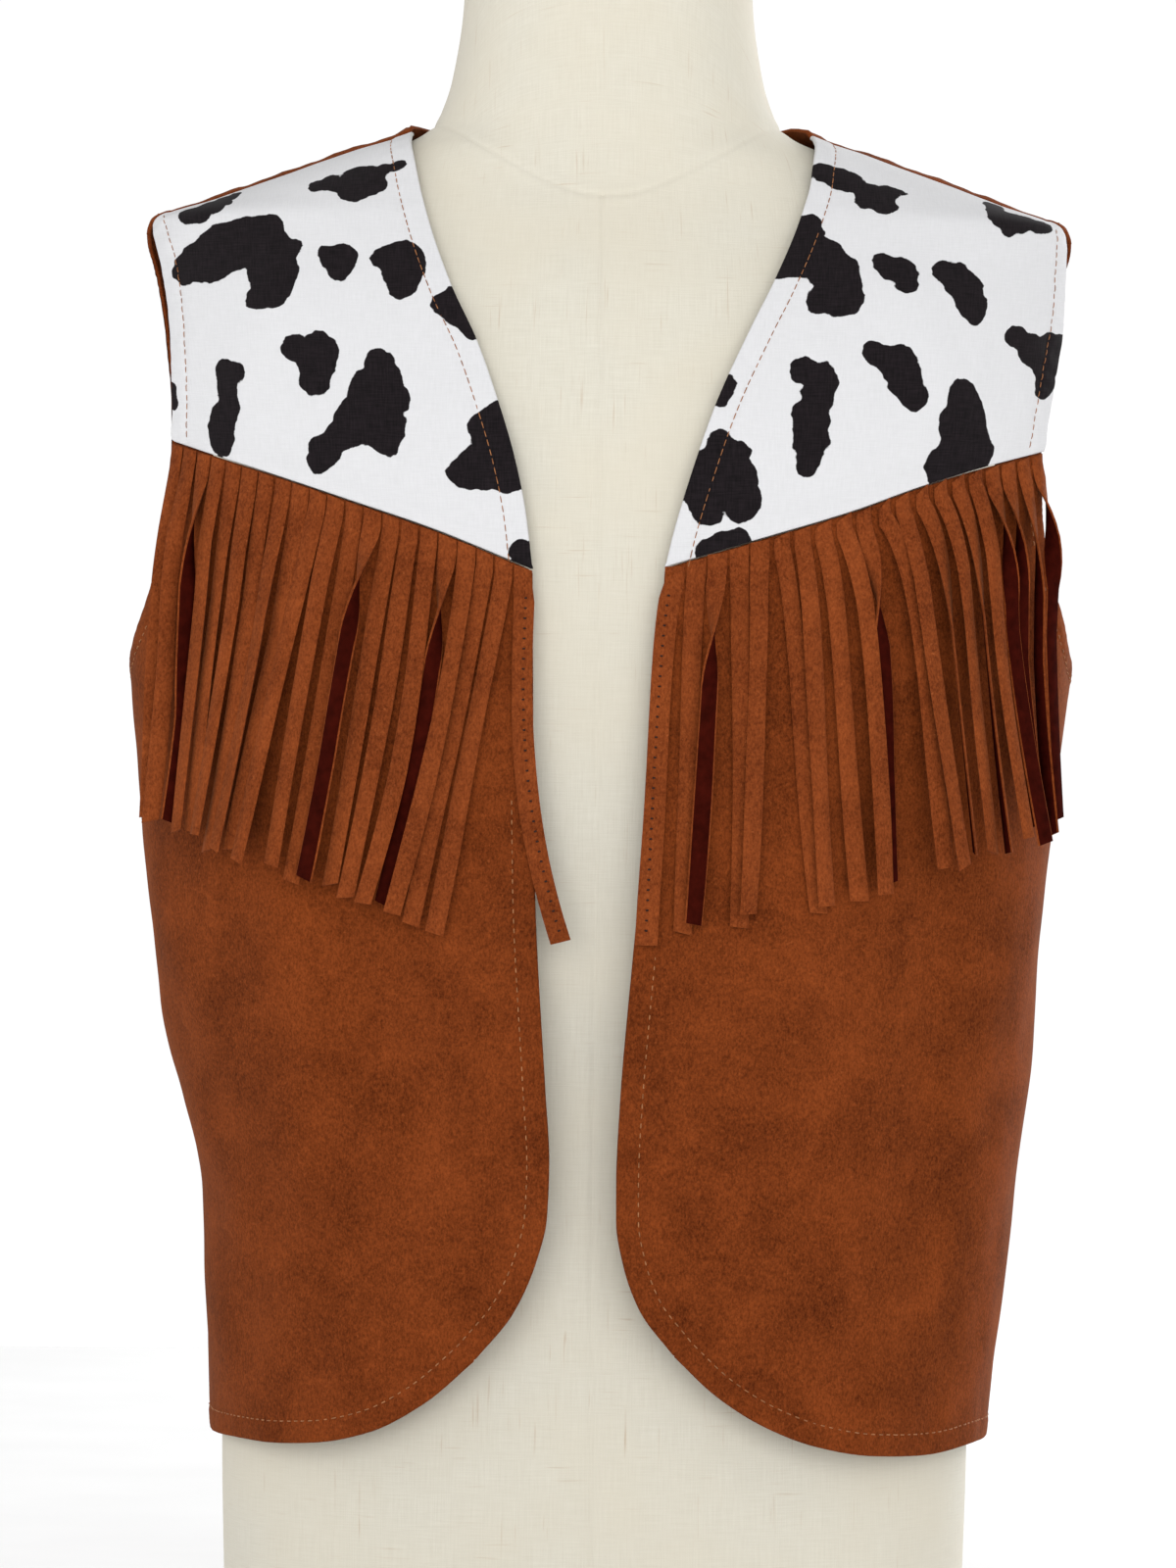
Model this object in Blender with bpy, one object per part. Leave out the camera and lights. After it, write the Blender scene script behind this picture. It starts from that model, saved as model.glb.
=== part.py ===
"""A child's western vest, worn open by a limbless linen dress form.

The vest faces -Y, +X is the wearer's left and Z is up. The origin is the middle of the form's
flat base. Sizes below are millimetres, and the meshes are made in metres.

The form is a skin through level sections. The cloth follows a second, larger skin of the same
kind. Each sewn piece is a grid of points on that skin between its own cut edges, made into a
wall, and the fringe hangs on it from a narrow strip.
"""
import bmesh
import bpy
import numpy as np

METRES = 0.001

CLOTH = 1.0
SEAM_GAP = 0.3
RIGHT, LEFT = -1, 1

HEM = 88.0
UNDERARM = 329.0

FORM_SECTIONS = [
    # height, right, left, front, back, squareness
    (0.0, 113.0, 113.0, 79.0, 83.0, 2.25),
    (3.0, 115.0, 115.0, 80.5, 85.0, 2.25),
    (44.0, 116.6, 116.6, 81.5, 86.5, 2.25),
    (90.0, 117.6, 117.6, 82.0, 87.0, 2.25),
    (140.0, 115.5, 115.5, 81.0, 83.0, 2.25),
    (190.0, 111.0, 111.0, 80.5, 77.0, 2.25),
    (240.0, 110.0, 110.0, 82.0, 76.0, 2.25),
    (290.0, 113.0, 113.0, 85.0, 81.0, 2.3),
    (340.0, 118.0, 118.0, 86.0, 87.5, 2.35),
    (380.0, 122.0, 122.0, 83.0, 89.0, 2.35),
    (410.0, 125.0, 125.0, 78.0, 86.0, 2.3),
    (432.0, 127.0, 127.0, 71.5, 79.5, 2.2),
    (448.0, 127.0, 127.0, 65.0, 72.5, 2.1),
    (460.0, 124.0, 124.0, 58.5, 66.0, 2.0),
    (467.0, 119.5, 119.5, 54.5, 61.5, 2.0),
    (472.0, 113.0, 113.0, 51.8, 58.2, 2.0),
    (476.5, 104.0, 104.0, 49.5, 55.8, 2.0),
    (482.0, 92.0, 92.0, 47.5, 53.4, 2.0),
    (490.0, 73.5, 73.5, 45.8, 50.8, 2.0),
    (495.0, 60.8, 60.8, 45.2, 49.8, 2.0),
    (499.0, 55.0, 55.0, 45.0, 49.2, 2.0),
    (505.0, 52.0, 52.0, 44.8, 48.8, 2.0),
    (514.0, 49.2, 49.2, 44.5, 48.6, 2.0),
    (540.0, 45.6, 45.6, 43.8, 47.4, 2.0),
    (566.0, 45.0, 45.0, 43.5, 47.0, 2.0),
    (573.0, 43.5, 43.5, 42.0, 45.5, 2.0),
    (576.5, 39.0, 39.0, 37.5, 41.0, 2.0),
    (578.0, 30.0, 30.0, 28.5, 32.0, 2.0),
]
FORM_LEVELS = 34
FORM_SIDES = 48

VEST_SECTIONS = [
    # height, right, left, front, back, squareness
    (88.0, 120.5, 123.0, 97.0, 99.0, 2.25),
    (126.0, 122.2, 127.0, 97.0, 98.0, 2.25),
    (163.0, 124.0, 131.5, 96.5, 97.5, 2.25),
    (192.0, 130.5, 135.0, 96.0, 97.0, 2.25),
    (220.0, 137.0, 137.0, 95.5, 96.5, 2.25),
    (250.0, 141.5, 139.5, 94.5, 96.0, 2.25),
    (284.0, 144.5, 142.0, 93.5, 95.5, 2.25),
    (330.0, 148.0, 147.5, 91.5, 95.0, 2.3),
    (365.0, 148.5, 149.0, 89.5, 94.5, 2.3),
    (400.0, 148.0, 149.5, 84.5, 91.5, 2.3),
    (425.0, 147.0, 149.0, 78.0, 86.5, 2.2),
    (445.0, 146.0, 148.0, 70.0, 79.0, 2.1),
    (458.0, 145.0, 147.0, 63.0, 72.0, 2.0),
    (468.0, 143.0, 144.5, 56.5, 65.5, 2.0),
    (475.0, 124.0, 126.0, 52.8, 61.0, 2.0),
    (482.0, 104.5, 107.0, 49.8, 57.8, 2.0),
    (490.0, 82.0, 84.5, 48.0, 55.0, 2.0),
    (497.0, 61.5, 64.5, 47.3, 53.3, 2.0),
    (504.0, 55.0, 56.0, 47.0, 52.0, 2.0),
]

# Soft swells of the worn cloth: a ridge lifts it off the skin, a trough is a ridge below it.
FOLDS = [
    # front or back (-1, 1), from x, from z, to x, to z, half width, lift
    (-1, -104.0, 330.0, -84.0, 120.0, 13.0, 2.4),
    (-1, -66.0, 300.0, -58.0, 130.0, 15.0, -2.0),
    (-1, 58.0, 310.0, 66.0, 110.0, 16.0, 2.0),
    (-1, 104.0, 330.0, 98.0, 100.0, 12.0, -2.2),
    (-1, 92.0, 460.0, 104.0, 405.0, 11.0, 1.6),
    (-1, -96.0, 462.0, -112.0, 405.0, 10.0, 1.4),
    (1, -88.0, 320.0, -70.0, 96.0, 15.0, 3.2),
    (1, -34.0, 250.0, -26.0, 92.0, 14.0, -2.4),
    (1, 22.0, 290.0, 30.0, 94.0, 16.0, 2.8),
    (1, 84.0, 330.0, 76.0, 96.0, 14.0, -2.4),
    (1, 112.0, 350.0, 104.0, 110.0, 12.0, 2.6),
]

NECK_EDGE = {
    # across, height; from the neck point down to the yoke seam
    RIGHT: [(59.5, 484.0), (55.0, 466.0), (47.5, 445.0), (39.5, 428.0), (32.5, 408.5),
            (27.5, 392.0), (24.0, 376.0)],
    LEFT: [(63.5, 481.0), (60.0, 468.0), (52.0, 448.0), (44.0, 431.5), (34.0, 409.0),
           (27.0, 388.5), (21.0, 368.0)],
}
NECK_POINT = {RIGHT: (61.0, 9.0, 496.5), LEFT: (64.0, 9.0, 496.5)}
SHOULDER_TIP = {RIGHT: (142.5, 6.0, 467.5), LEFT: (144.0, 6.0, 467.0)}

YOKE_SEAM = {
    # across, height; from the front edge out to the armhole
    RIGHT: [(21.5, 357.0), (29.0, 360.0), (51.5, 369.0), (76.5, 377.5), (103.0, 386.5), (116.5, 391.0),
            (133.5, 397.0)],
    LEFT: [(18.7, 358.0), (25.0, 360.0), (47.5, 367.0), (76.0, 376.0), (95.5, 383.5), (113.0, 389.5),
           (135.5, 396.5)],
}

FRONT_EDGE = {
    # across, height; from the yoke seam to the middle of the rounded corner
    RIGHT: [(21.5, 357.0), (21.0, 320.0), (19.6, 255.0), (16.0, 199.0), (14.6, 176.0), (15.2, 160.0),
            (18.5, 146.0), (25.0, 131.0), (37.0, 116.0)],
    LEFT: [(18.7, 358.0), (16.5, 320.0), (11.0, 250.0), (6.6, 195.0), (5.7, 172.0), (5.8, 159.0),
           (8.3, 145.0), (13.0, 132.5), (24.0, 118.0)],
}
FRONT_HEM = {
    # across, height; from the middle of the rounded corner towards the side seam
    RIGHT: [(37.0, 116.0), (52.5, 102.5), (68.5, 93.5), (85.0, 89.3), (102.0, HEM), (116.0, HEM)],
    LEFT: [(24.0, 118.0), (37.0, 106.0), (52.0, 96.5), (67.0, 90.5), (84.0, 87.0), (102.0, 86.0),
           (118.0, HEM)],
}

ARMHOLE_FRONT = {
    # forward, height; from the shoulder tip down to the yoke seam
    RIGHT: [(18.5, 454.5), (28.5, 439.5), (35.0, 425.0), (40.0, 411.0)],
    LEFT: [(14.0, 453.0), (22.5, 436.0), (33.0, 418.0)],
}
ARMHOLE_UNDER = [(43.0, 383.0), (39.0, 363.0), (30.0, 346.0), (16.0, 334.0)]
ARMHOLE_BACK = [(-5.0, 461.0), (-17.0, 449.0), (-28.0, 434.0), (-36.0, 414.0), (-40.0, 394.0),
                (-39.5, 374.0), (-34.0, 356.0), (-24.0, 342.0), (-12.0, 332.5)]

BACK_NECK = [
    # across, backward, height; from the neck point to the middle of the back
    (58.5, 6.0, 499.5), (52.0, 24.0, 500.0), (38.0, 40.0, 497.5), (20.0, 49.5, 494.5),
    (0.0, 53.0, 493.5),
]

# Cells along each piece's edges.
YOKE_COLUMNS = 12
YOKE_ROWS = 12
UNDER_ROWS = 7
SIDE_ROWS = 14
NECK_COLUMNS = 8

# Points that a curve, a seam, a row of levels or a hem line is first drawn with.
CURVE_SAMPLES = 400
SEAM_SAMPLES = 240
LEVEL_SAMPLES = 1200
SIDE_SAMPLES = 12
HEM_SAMPLES = 40

STRAND_WIDTH = 5.7
STRAND_LENGTH = 111.0
STRIP_HEIGHT = 4.0
FRINGE_LIFT = CLOTH + SEAM_GAP
STRAND_STEPS = [7.0, 15.0, 24.0, 34.0, 46.0, 61.0, 78.0, 95.0, STRAND_LENGTH]
# A strand starts to turn below its root, is fully turned and lifted after these lengths, and
# loses the seam's slant over the last one.
TURN_START = 4.0
TURN_LENGTH = 34.0
LIFT_LENGTH = 22.0
SLANT_LENGTH = 9.0
# The drift grows with this power of the length, and the strand leans forward by this share.
DRIFT_POWER = 1.25
FORWARD_LEAN = 0.02

FRINGE = {
    # drift along X at the tip, stand-off, turn in degrees; from the armhole to the front edge
    RIGHT: [(-9.6, 0.4, 24), (-9.2, 2.6, 10), (-8.4, 0.6, 115), (-9.4, 2.4, 34), (-11.4, 0.8, 38),
            (-14.1, 0.8, 38), (-15.8, 1.0, 38), (-18.3, 1.2, 36), (-20.1, 1.4, 34), (-22.4, 1.6, 30),
            (-17.4, 2.6, 8), (-17.5, 0.3, -5), (-18.8, 3.0, 180), (-17.6, 0.4, 6), (-17.7, 1.2, -4),
            (-17.8, 2.2, 6), (-19.2, 0.0, 180), (-20.6, 3.2, 4), (-21.4, 0.8, -6), (-19.6, 1.2, 5),
            (12.3, 0.6, 6)],
    # the same, from the front edge to the armhole
    LEFT: [(-7.2, 0.6, 8), (-3.5, 0.2, -5), (-7.5, 2.4, 178), (0.7, 0.2, 4), (-4.2, 2.2, -8),
           (11.9, 0.2, 6), (7.7, 2.4, -10), (11.6, 0.8, 8), (12.1, 3.4, -7), (9.7, 0.2, 176),
           (20.1, 0.2, 8), (17.8, 3.2, -6), (17.2, 0.6, -60), (15.5, 2.0, -20), (15.4, 0.8, -62),
           (14.7, 3.2, -8), (15.4, 1.4, -165), (9.9, 0.6, -150), (7.9, 1.6, -80), (6.7, 4.6, -172)],
}

# Each material's colour and roughness.
SUEDE = ((0.262, 0.058, 0.013, 1.0), 0.9)
COTTON = ((0.86, 0.87, 0.90, 1.0), 0.8)
LINEN = ((0.745, 0.700, 0.575, 1.0), 0.85)
SHARP_ANGLE = 50


def clear_scene():
    for old in list(bpy.data.objects):
        bpy.data.objects.remove(old, do_unlink=True)


def plain_material(name, colour, roughness):
    material = bpy.data.materials.new(name)
    material.use_nodes = True
    shader = material.node_tree.nodes["Principled BSDF"]
    shader.inputs["Base Color"].default_value = colour
    shader.inputs["Roughness"].default_value = roughness
    shader.inputs["Metallic"].default_value = 0.0
    material.diffuse_color = colour
    return material


def gentle_slopes(steps, rises):
    """Slopes for a curve through a table's rows that stays between them."""
    slopes = np.zeros((len(rises) + 1, rises.shape[1]))
    before, after = rises[:-1], rises[1:]
    near_weight = 2 * steps[1:] + steps[:-1]
    far_weight = steps[1:] + 2 * steps[:-1]
    same_way = before * after > 0
    safe_before = np.where(same_way, before, 1.0)
    safe_after = np.where(same_way, after, 1.0)
    mean = (near_weight + far_weight) / (near_weight / safe_before + far_weight / safe_after)
    slopes[1:-1] = np.where(same_way, mean, 0.0)
    slopes[0] = rises[0]
    slopes[-1] = rises[-1]
    return slopes


class SmoothTable:
    """Reads every column of a table smoothly at any value of the first one."""

    def __init__(self, keys, values):
        self.keys = np.asarray(keys, dtype=float)
        self.values = np.asarray(values, dtype=float)
        steps = np.diff(self.keys)[:, None]
        self.slopes = gentle_slopes(steps, np.diff(self.values, axis=0) / steps)

    def at(self, keys):
        keys = np.clip(keys, self.keys[0], self.keys[-1])
        row = np.clip(np.searchsorted(self.keys, keys) - 1, 0, len(self.keys) - 2)
        step = (self.keys[row + 1] - self.keys[row])[:, None]
        share = (keys - self.keys[row])[:, None] / step
        low_part = self.values[row] * (1 + 2 * share) + self.slopes[row] * step * share
        high_part = self.values[row + 1] * (3 - 2 * share) + self.slopes[row + 1] * step * (share - 1)
        return low_part * (1 - share) ** 2 + high_part * share ** 2


class Skin:
    """A smooth surface through level sections, each a rounded oblong."""

    def __init__(self, sections):
        table = np.array(sections, dtype=float)
        self.table = SmoothTable(table[:, 0], table[:, 1:])

    def section(self, points):
        right, left, front, back, squareness = self.table.at(points[:, 2]).T
        half_width = np.where(points[:, 0] < 0, right, left)
        half_depth = np.where(points[:, 1] < 0, front, back)
        return half_width, half_depth, squareness

    def excess(self, points):
        """Zero on the skin, positive outside it."""
        half_width, half_depth, squareness = self.section(points)
        across = (np.abs(points[:, 0]) / half_width) ** squareness
        deep = (np.abs(points[:, 1]) / half_depth) ** squareness
        return across + deep - 1.0

    def slope(self, points, step=0.05):
        moves = np.eye(3) * step
        rises = [self.excess(points + move) - self.excess(points - move) for move in moves]
        return np.stack(rises, axis=1) / (2 * step)

    def settle(self, points, rounds=8):
        """Slides points onto the skin the shortest way."""
        points = np.array(points, dtype=float)
        for _ in range(rounds):
            slope = self.slope(points)
            points -= (self.excess(points) / (slope ** 2).sum(axis=1))[:, None] * slope
        return points

    def outward(self, points):
        slope = self.slope(points)
        return slope / np.linalg.norm(slope, axis=1)[:, None]

    def on_front(self, x, z):
        point = np.array([[x, -1.0, z]])
        half_width, half_depth, squareness = self.section(point)
        deep = max(0.0, 1 - (abs(x) / half_width[0]) ** squareness[0])
        return (x, -half_depth[0] * deep ** (1 / squareness[0]), z)

    def on_side(self, side, forward, z):
        point = np.array([[side, -forward, z]])
        half_width, half_depth, squareness = self.section(point)
        wide = max(0.0, 1 - (abs(forward) / half_depth[0]) ** squareness[0])
        return (side * half_width[0] * wide ** (1 / squareness[0]), -forward, z)

    def ring(self, angles, level):
        """Points round one level section, at the given angles from +X towards +Y."""
        points = np.stack([np.cos(angles), np.sin(angles), np.full(len(angles), level)], axis=1)
        half_width, half_depth, squareness = self.section(points)
        reach = (np.abs(points[:, 0]) / half_width) ** squareness
        reach += (np.abs(points[:, 1]) / half_depth) ** squareness
        points[:, :2] /= (reach ** (1 / squareness))[:, None]
        return points


VEST = Skin(VEST_SECTIONS)
FORM = Skin(FORM_SECTIONS)


def swell(points):
    """How far the folds lift the cloth off the skin at each point."""
    lift = np.zeros(len(points))
    for facing, x0, z0, x1, z1, half_width, height in FOLDS:
        start = np.array([x0, z0])
        run = np.array([x1, z1]) - start
        place = points[:, [0, 2]] - start
        along = place @ run / (run @ run)
        aside = (place[:, 0] * run[1] - place[:, 1] * run[0]) / np.linalg.norm(run)
        ends = np.clip(1 - np.abs(2 * along - 1) ** 2, 0, 1)
        ridge = np.exp(-(aside / half_width) ** 2) * ends
        lift += np.where(points[:, 1] * facing > 0, ridge * height, 0.0)
    return lift


def even_curve(points, count):
    """A smooth curve through points, cut into equal steps, with count points in all."""
    points = np.asarray(points, dtype=float)
    lengths = np.concatenate([[0.0], np.cumsum(np.linalg.norm(np.diff(points, axis=0), axis=1))])
    fine = SmoothTable(lengths, points).at(np.linspace(0, lengths[-1], CURVE_SAMPLES))
    travelled = np.concatenate([[0.0], np.cumsum(np.linalg.norm(np.diff(fine, axis=0), axis=1))])
    wanted = np.linspace(0, travelled[-1], count)
    return np.stack([np.interp(wanted, travelled, fine[:, axis]) for axis in range(3)], axis=1)


def joined(*curves):
    """One curve from several that meet end to end."""
    return np.concatenate([curves[0]] + [curve[1:] for curve in curves[1:]])


def patch(top, bottom, left, right):
    """A grid of points between four edges: rows from top to bottom, columns from left to right."""
    across = np.linspace(0, 1, len(top))[None, :, None]
    down = np.linspace(0, 1, len(left))[:, None, None]
    between_rows = (1 - down) * top[None] + down * bottom[None]
    between_columns = (1 - across) * left[:, None] + across * right[:, None]
    upper = (1 - across) * top[0] + across * top[-1]
    lower = (1 - across) * bottom[0] + across * bottom[-1]
    return between_rows + between_columns - (1 - down) * upper - down * lower


def relaxed(grid, rounds=120):
    """Spreads a grid's inner points evenly over the skin between its fixed edges."""
    grid = grid.copy()
    for _ in range(rounds):
        inner = (grid[:-2, 1:-1] + grid[2:, 1:-1] + grid[1:-1, :-2] + grid[1:-1, 2:]) / 4
        grid[1:-1, 1:-1] = VEST.settle(inner.reshape(-1, 3), 1).reshape(inner.shape)
    return grid


def draw_in(grid, outward, sides):
    """Moves the named edges of a grid back from the seam line by half the seam gap."""
    lines = {"top": (0, 1), "bottom": (-1, -2), "left": (0, 1), "right": (-1, -2)}
    for name in sides:
        edge, inner = lines[name]
        view = grid if name in ("top", "bottom") else grid.transpose(1, 0, 2)
        normal = outward if name in ("top", "bottom") else outward.transpose(1, 0, 2)
        along = np.gradient(view[edge], axis=0)
        inward = np.cross(normal[edge], along)
        inward /= np.linalg.norm(inward, axis=1)[:, None]
        facing = np.sign(((view[inner] - view[edge]) * inward).sum(axis=1))[:, None]
        view[edge] = view[edge] + inward * facing * SEAM_GAP / 2


def mesh_object(name, points, faces, material):
    mesh = bpy.data.meshes.new(name)
    mesh.from_pydata([tuple(point * METRES) for point in points], [], faces)
    body = bmesh.new()
    body.from_mesh(mesh)
    bmesh.ops.recalc_face_normals(body, faces=body.faces)
    body.to_mesh(mesh)
    body.free()
    mesh.materials.append(material)
    mesh.shade_smooth()
    mesh.set_sharp_from_angle(angle=np.radians(SHARP_ANGLE))
    built = bpy.data.objects.new(name, mesh)
    bpy.context.collection.objects.link(built)
    return built


def short_split(points, quad):
    """Two triangles of a quad, parted along its shorter diagonal."""
    a, b, c, d = quad
    if np.linalg.norm(points[a] - points[c]) <= np.linalg.norm(points[b] - points[d]):
        return (a, b, c), (a, c, d)
    return (a, b, d), (b, c, d)


def cloth_wall(name, grid, seams, material):
    """Makes a grid on the vest's skin into a closed wall of cloth."""
    rows, columns = grid.shape[:2]
    flat = VEST.settle(relaxed(grid).reshape(-1, 3))
    outward = VEST.outward(flat)
    grid = flat.reshape(rows, columns, 3)
    draw_in(grid, outward.reshape(rows, columns, 3), seams)
    middle = grid.reshape(-1, 3) + outward * swell(flat)[:, None]
    points = np.concatenate([middle + outward * CLOTH / 2, middle - outward * CLOTH / 2])
    inside = rows * columns
    faces = []
    for row in range(rows - 1):
        for column in range(columns - 1):
            corner = row * columns + column
            quad = (corner, corner + 1, corner + columns + 1, corner + columns)
            for triangle in short_split(middle, quad):
                faces.append(triangle)
                faces.append(tuple(index + inside for index in reversed(triangle)))
    rim = list(range(columns))
    rim += [row * columns + columns - 1 for row in range(1, rows)]
    rim += [(rows - 1) * columns + column for column in range(columns - 2, -1, -1)]
    rim += [row * columns for row in range(rows - 2, 0, -1)]
    for here, there in zip(rim, rim[1:] + rim[:1]):
        faces.append((here, here + inside, there + inside, there))
    return mesh_object(name, points, faces, material)


def neck_point(side):
    across, forward, height = NECK_POINT[side]
    return (side * across, -forward, height)


def shoulder_tip(side):
    across, forward, height = SHOULDER_TIP[side]
    return (side * across, -forward, height)


def shoulder_seam(side):
    """From the neck point out to the shoulder tip."""
    ends = np.array([neck_point(side), shoulder_tip(side)])
    share = np.linspace(0, 1, YOKE_COLUMNS + 1)[:, None]
    return VEST.settle(ends[0] * (1 - share) + ends[1] * share)


def yoke_seam(side, count):
    """From the front edge out to the armhole."""
    return even_curve([VEST.on_front(side * x, z) for x, z in YOKE_SEAM[side]], count)


def neck_edge(side, count):
    line = [neck_point(side)]
    line += [VEST.on_front(side * x, z) for x, z in NECK_EDGE[side]]
    line.append(VEST.on_front(side * YOKE_SEAM[side][0][0], YOKE_SEAM[side][0][1]))
    return even_curve(line, count)


def armhole_front(side, count):
    line = [shoulder_tip(side)]
    line += [VEST.on_side(side, forward, z) for forward, z in ARMHOLE_FRONT[side]]
    line.append(VEST.on_front(side * YOKE_SEAM[side][-1][0], YOKE_SEAM[side][-1][1]))
    return even_curve(line, count)


def armhole_under(side, count):
    line = [VEST.on_front(side * YOKE_SEAM[side][-1][0], YOKE_SEAM[side][-1][1])]
    line += [VEST.on_side(side, forward, z) for forward, z in ARMHOLE_UNDER]
    line.append(VEST.on_side(side, 0.0, UNDERARM))
    return even_curve(line, count)


def armhole_back(side, count):
    """From the shoulder tip down to the underarm."""
    line = [shoulder_tip(side)]
    line += [VEST.on_side(side, forward, z) for forward, z in ARMHOLE_BACK]
    line.append(VEST.on_side(side, 0.0, UNDERARM))
    return even_curve(line, count)


def side_seam(side, count):
    """From the underarm down to the hem."""
    heights = np.linspace(UNDERARM, HEM, SIDE_SAMPLES)
    return even_curve([VEST.on_side(side, 0.0, z) for z in heights], count)


def build_yoke(side, name, material):
    top = shoulder_seam(side)
    bottom = yoke_seam(side, YOKE_COLUMNS + 1)
    left = neck_edge(side, YOKE_ROWS + 1)
    right = armhole_front(side, YOKE_ROWS + 1)
    return cloth_wall(name, patch(top, bottom, left, right), ("top", "bottom"), material)


def build_front(side, name, material):
    top = yoke_seam(side, YOKE_COLUMNS + 1)
    edge = [VEST.on_front(side * x, z) for x, z in FRONT_EDGE[side]]
    left = even_curve(edge, UNDER_ROWS + SIDE_ROWS + 1)
    hem = [VEST.on_front(side * x, z) for x, z in FRONT_HEM[side]]
    hem.append(VEST.on_side(side, 0.0, HEM))
    bottom = even_curve(hem, YOKE_COLUMNS + 1)
    right = joined(armhole_under(side, UNDER_ROWS + 1), side_seam(side, SIDE_ROWS + 1))
    return cloth_wall(name, patch(top, bottom, left, right), ("top", "right"), material)


def back_edge(side):
    """From the shoulder tip down the armhole and the side seam."""
    return joined(armhole_back(side, YOKE_ROWS + 1), side_seam(side, SIDE_ROWS + 1))


def back_neck():
    """From the right neck point round the back to the left one."""
    right = [neck_point(RIGHT)] + [(-x, y, z) for x, y, z in BACK_NECK]
    left = [(x, y, z) for x, y, z in reversed(BACK_NECK[:-1])] + [neck_point(LEFT)]
    return VEST.settle(even_curve(right + left, NECK_COLUMNS + 1))


def back_hem(count):
    """From the right side seam round the back to the left one."""
    return even_curve(VEST.ring(np.linspace(np.pi, 0, HEM_SAMPLES), HEM), count)


def build_back(name, material):
    top = joined(shoulder_seam(RIGHT)[::-1], back_neck(), shoulder_seam(LEFT))
    grid = patch(top, back_hem(len(top)), back_edge(RIGHT), back_edge(LEFT))
    return cloth_wall(name, grid, ("top", "left", "right"), material)


def strand_sections(root, drift, stand_off, turn):
    """Corner points of one strand: it hangs from its root, lies on the cloth and turns."""
    left_root, right_root = root
    start = (left_root + right_root) / 2
    steps = np.array(STRAND_STEPS)
    share = steps / STRAND_LENGTH
    drop = np.sqrt(1 - (drift / STRAND_LENGTH) ** 2)
    hang = np.stack([drift * share ** DRIFT_POWER, -FORWARD_LEAN * steps, -steps * drop], axis=1)
    angle = np.radians(turn) * np.clip((steps - TURN_START) / TURN_LENGTH, 0, 1)
    foot = VEST.settle(start + hang)
    outward = VEST.outward(foot)
    apart = stand_off * np.clip(steps / LIFT_LENGTH, 0, 1)
    clear = FRINGE_LIFT + swell(foot) + apart + STRAND_WIDTH / 2 * np.abs(np.sin(angle))
    free = ((start + hang - foot) * outward).sum(axis=1) + apart
    path = foot + outward * np.maximum(free, clear)[:, None]
    line = np.concatenate([start[None], path])
    along = np.gradient(line, axis=0)[1:]
    along /= np.linalg.norm(along, axis=1)[:, None]
    across = np.cross(along, outward)
    across /= np.linalg.norm(across, axis=1)[:, None]
    across *= np.sign(across @ (right_root - left_root))[:, None]
    face = np.cross(across, along)
    face *= np.sign((face * outward).sum(axis=1))[:, None]
    wide = across * np.cos(angle)[:, None] + face * np.sin(angle)[:, None]
    thick = face * np.cos(angle)[:, None] - across * np.sin(angle)[:, None]
    seam_rise = (right_root - left_root)[2] / np.linalg.norm(right_root - left_root)
    slant = along * (-seam_rise * np.exp(-steps / SLANT_LENGTH))[:, None]
    half = (wide + slant) * STRAND_WIDTH / 2
    depth = thick * CLOTH / 2
    corners = [path - half + depth, path + half + depth, path + half - depth, path - half - depth]
    return np.stack(corners, axis=1)


def build_fringe(side, name, strands, seam, material):
    """A narrow strip under the yoke seam, cut below into strands that hang from it."""
    travelled = np.concatenate([[0.0], np.cumsum(np.linalg.norm(np.diff(seam, axis=0), axis=1))])
    pitch = travelled[-1] / len(strands)
    gap = pitch - STRAND_WIDTH
    stops = []
    for index in range(len(strands)):
        stops += [index * pitch + gap / 2, (index + 1) * pitch - gap / 2]
    top = np.stack([np.interp(stops, travelled, seam[:, axis]) for axis in range(3)], axis=1)
    top = VEST.settle(top - np.array([0, 0, SEAM_GAP]))
    bottom = VEST.settle(top - np.array([0, 0, STRIP_HEIGHT]))
    corners = []
    middle = []
    for line in (top, bottom):
        outward = VEST.outward(line)
        centre = line + outward * (FRINGE_LIFT + swell(line))[:, None]
        corners.append((centre + outward * CLOTH / 2, centre - outward * CLOTH / 2))
        middle.append(centre)
    stop_count = len(stops)
    points = np.concatenate([corners[0][0], corners[0][1], corners[1][0], corners[1][1]])
    top_out, top_in, low_out, low_in = (np.arange(stop_count) + stop_count * layer for layer in range(4))
    faces = []
    for stop in range(stop_count - 1):
        after = stop + 1
        faces.append((top_out[stop], top_out[after], low_out[after], low_out[stop]))
        faces.append((top_in[after], top_in[stop], low_in[stop], low_in[after]))
        faces.append((top_in[stop], top_in[after], top_out[after], top_out[stop]))
        if stop % 2:
            faces.append((low_out[stop], low_out[after], low_in[after], low_in[stop]))
    for end in (0, stop_count - 1):
        faces.append((top_out[end], low_out[end], low_in[end], top_in[end]))
    for index, (drift, stand_off, turn) in enumerate(strands):
        first, second = 2 * index, 2 * index + 1
        sections = strand_sections((middle[1][first], middle[1][second]), drift, stand_off, turn)
        ring = [low_out[first], low_out[second], low_in[second], low_in[first]]
        for section in sections:
            base = len(points)
            points = np.concatenate([points, section])
            below = [base, base + 1, base + 2, base + 3]
            # The two wide faces are split along the same diagonal, so a turn never thins the strand.
            faces += [(ring[0], ring[1], below[1]), (ring[0], below[1], below[0])]
            faces += [(ring[2], ring[3], below[2]), (ring[3], below[3], below[2])]
            faces += [(ring[1], ring[2], below[2], below[1]), (ring[3], ring[0], below[0], below[3])]
            ring = below
        faces.append(tuple(ring))
    faces = [tuple(int(index) for index in face) for face in faces]
    return mesh_object(name, points, faces, material)


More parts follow.
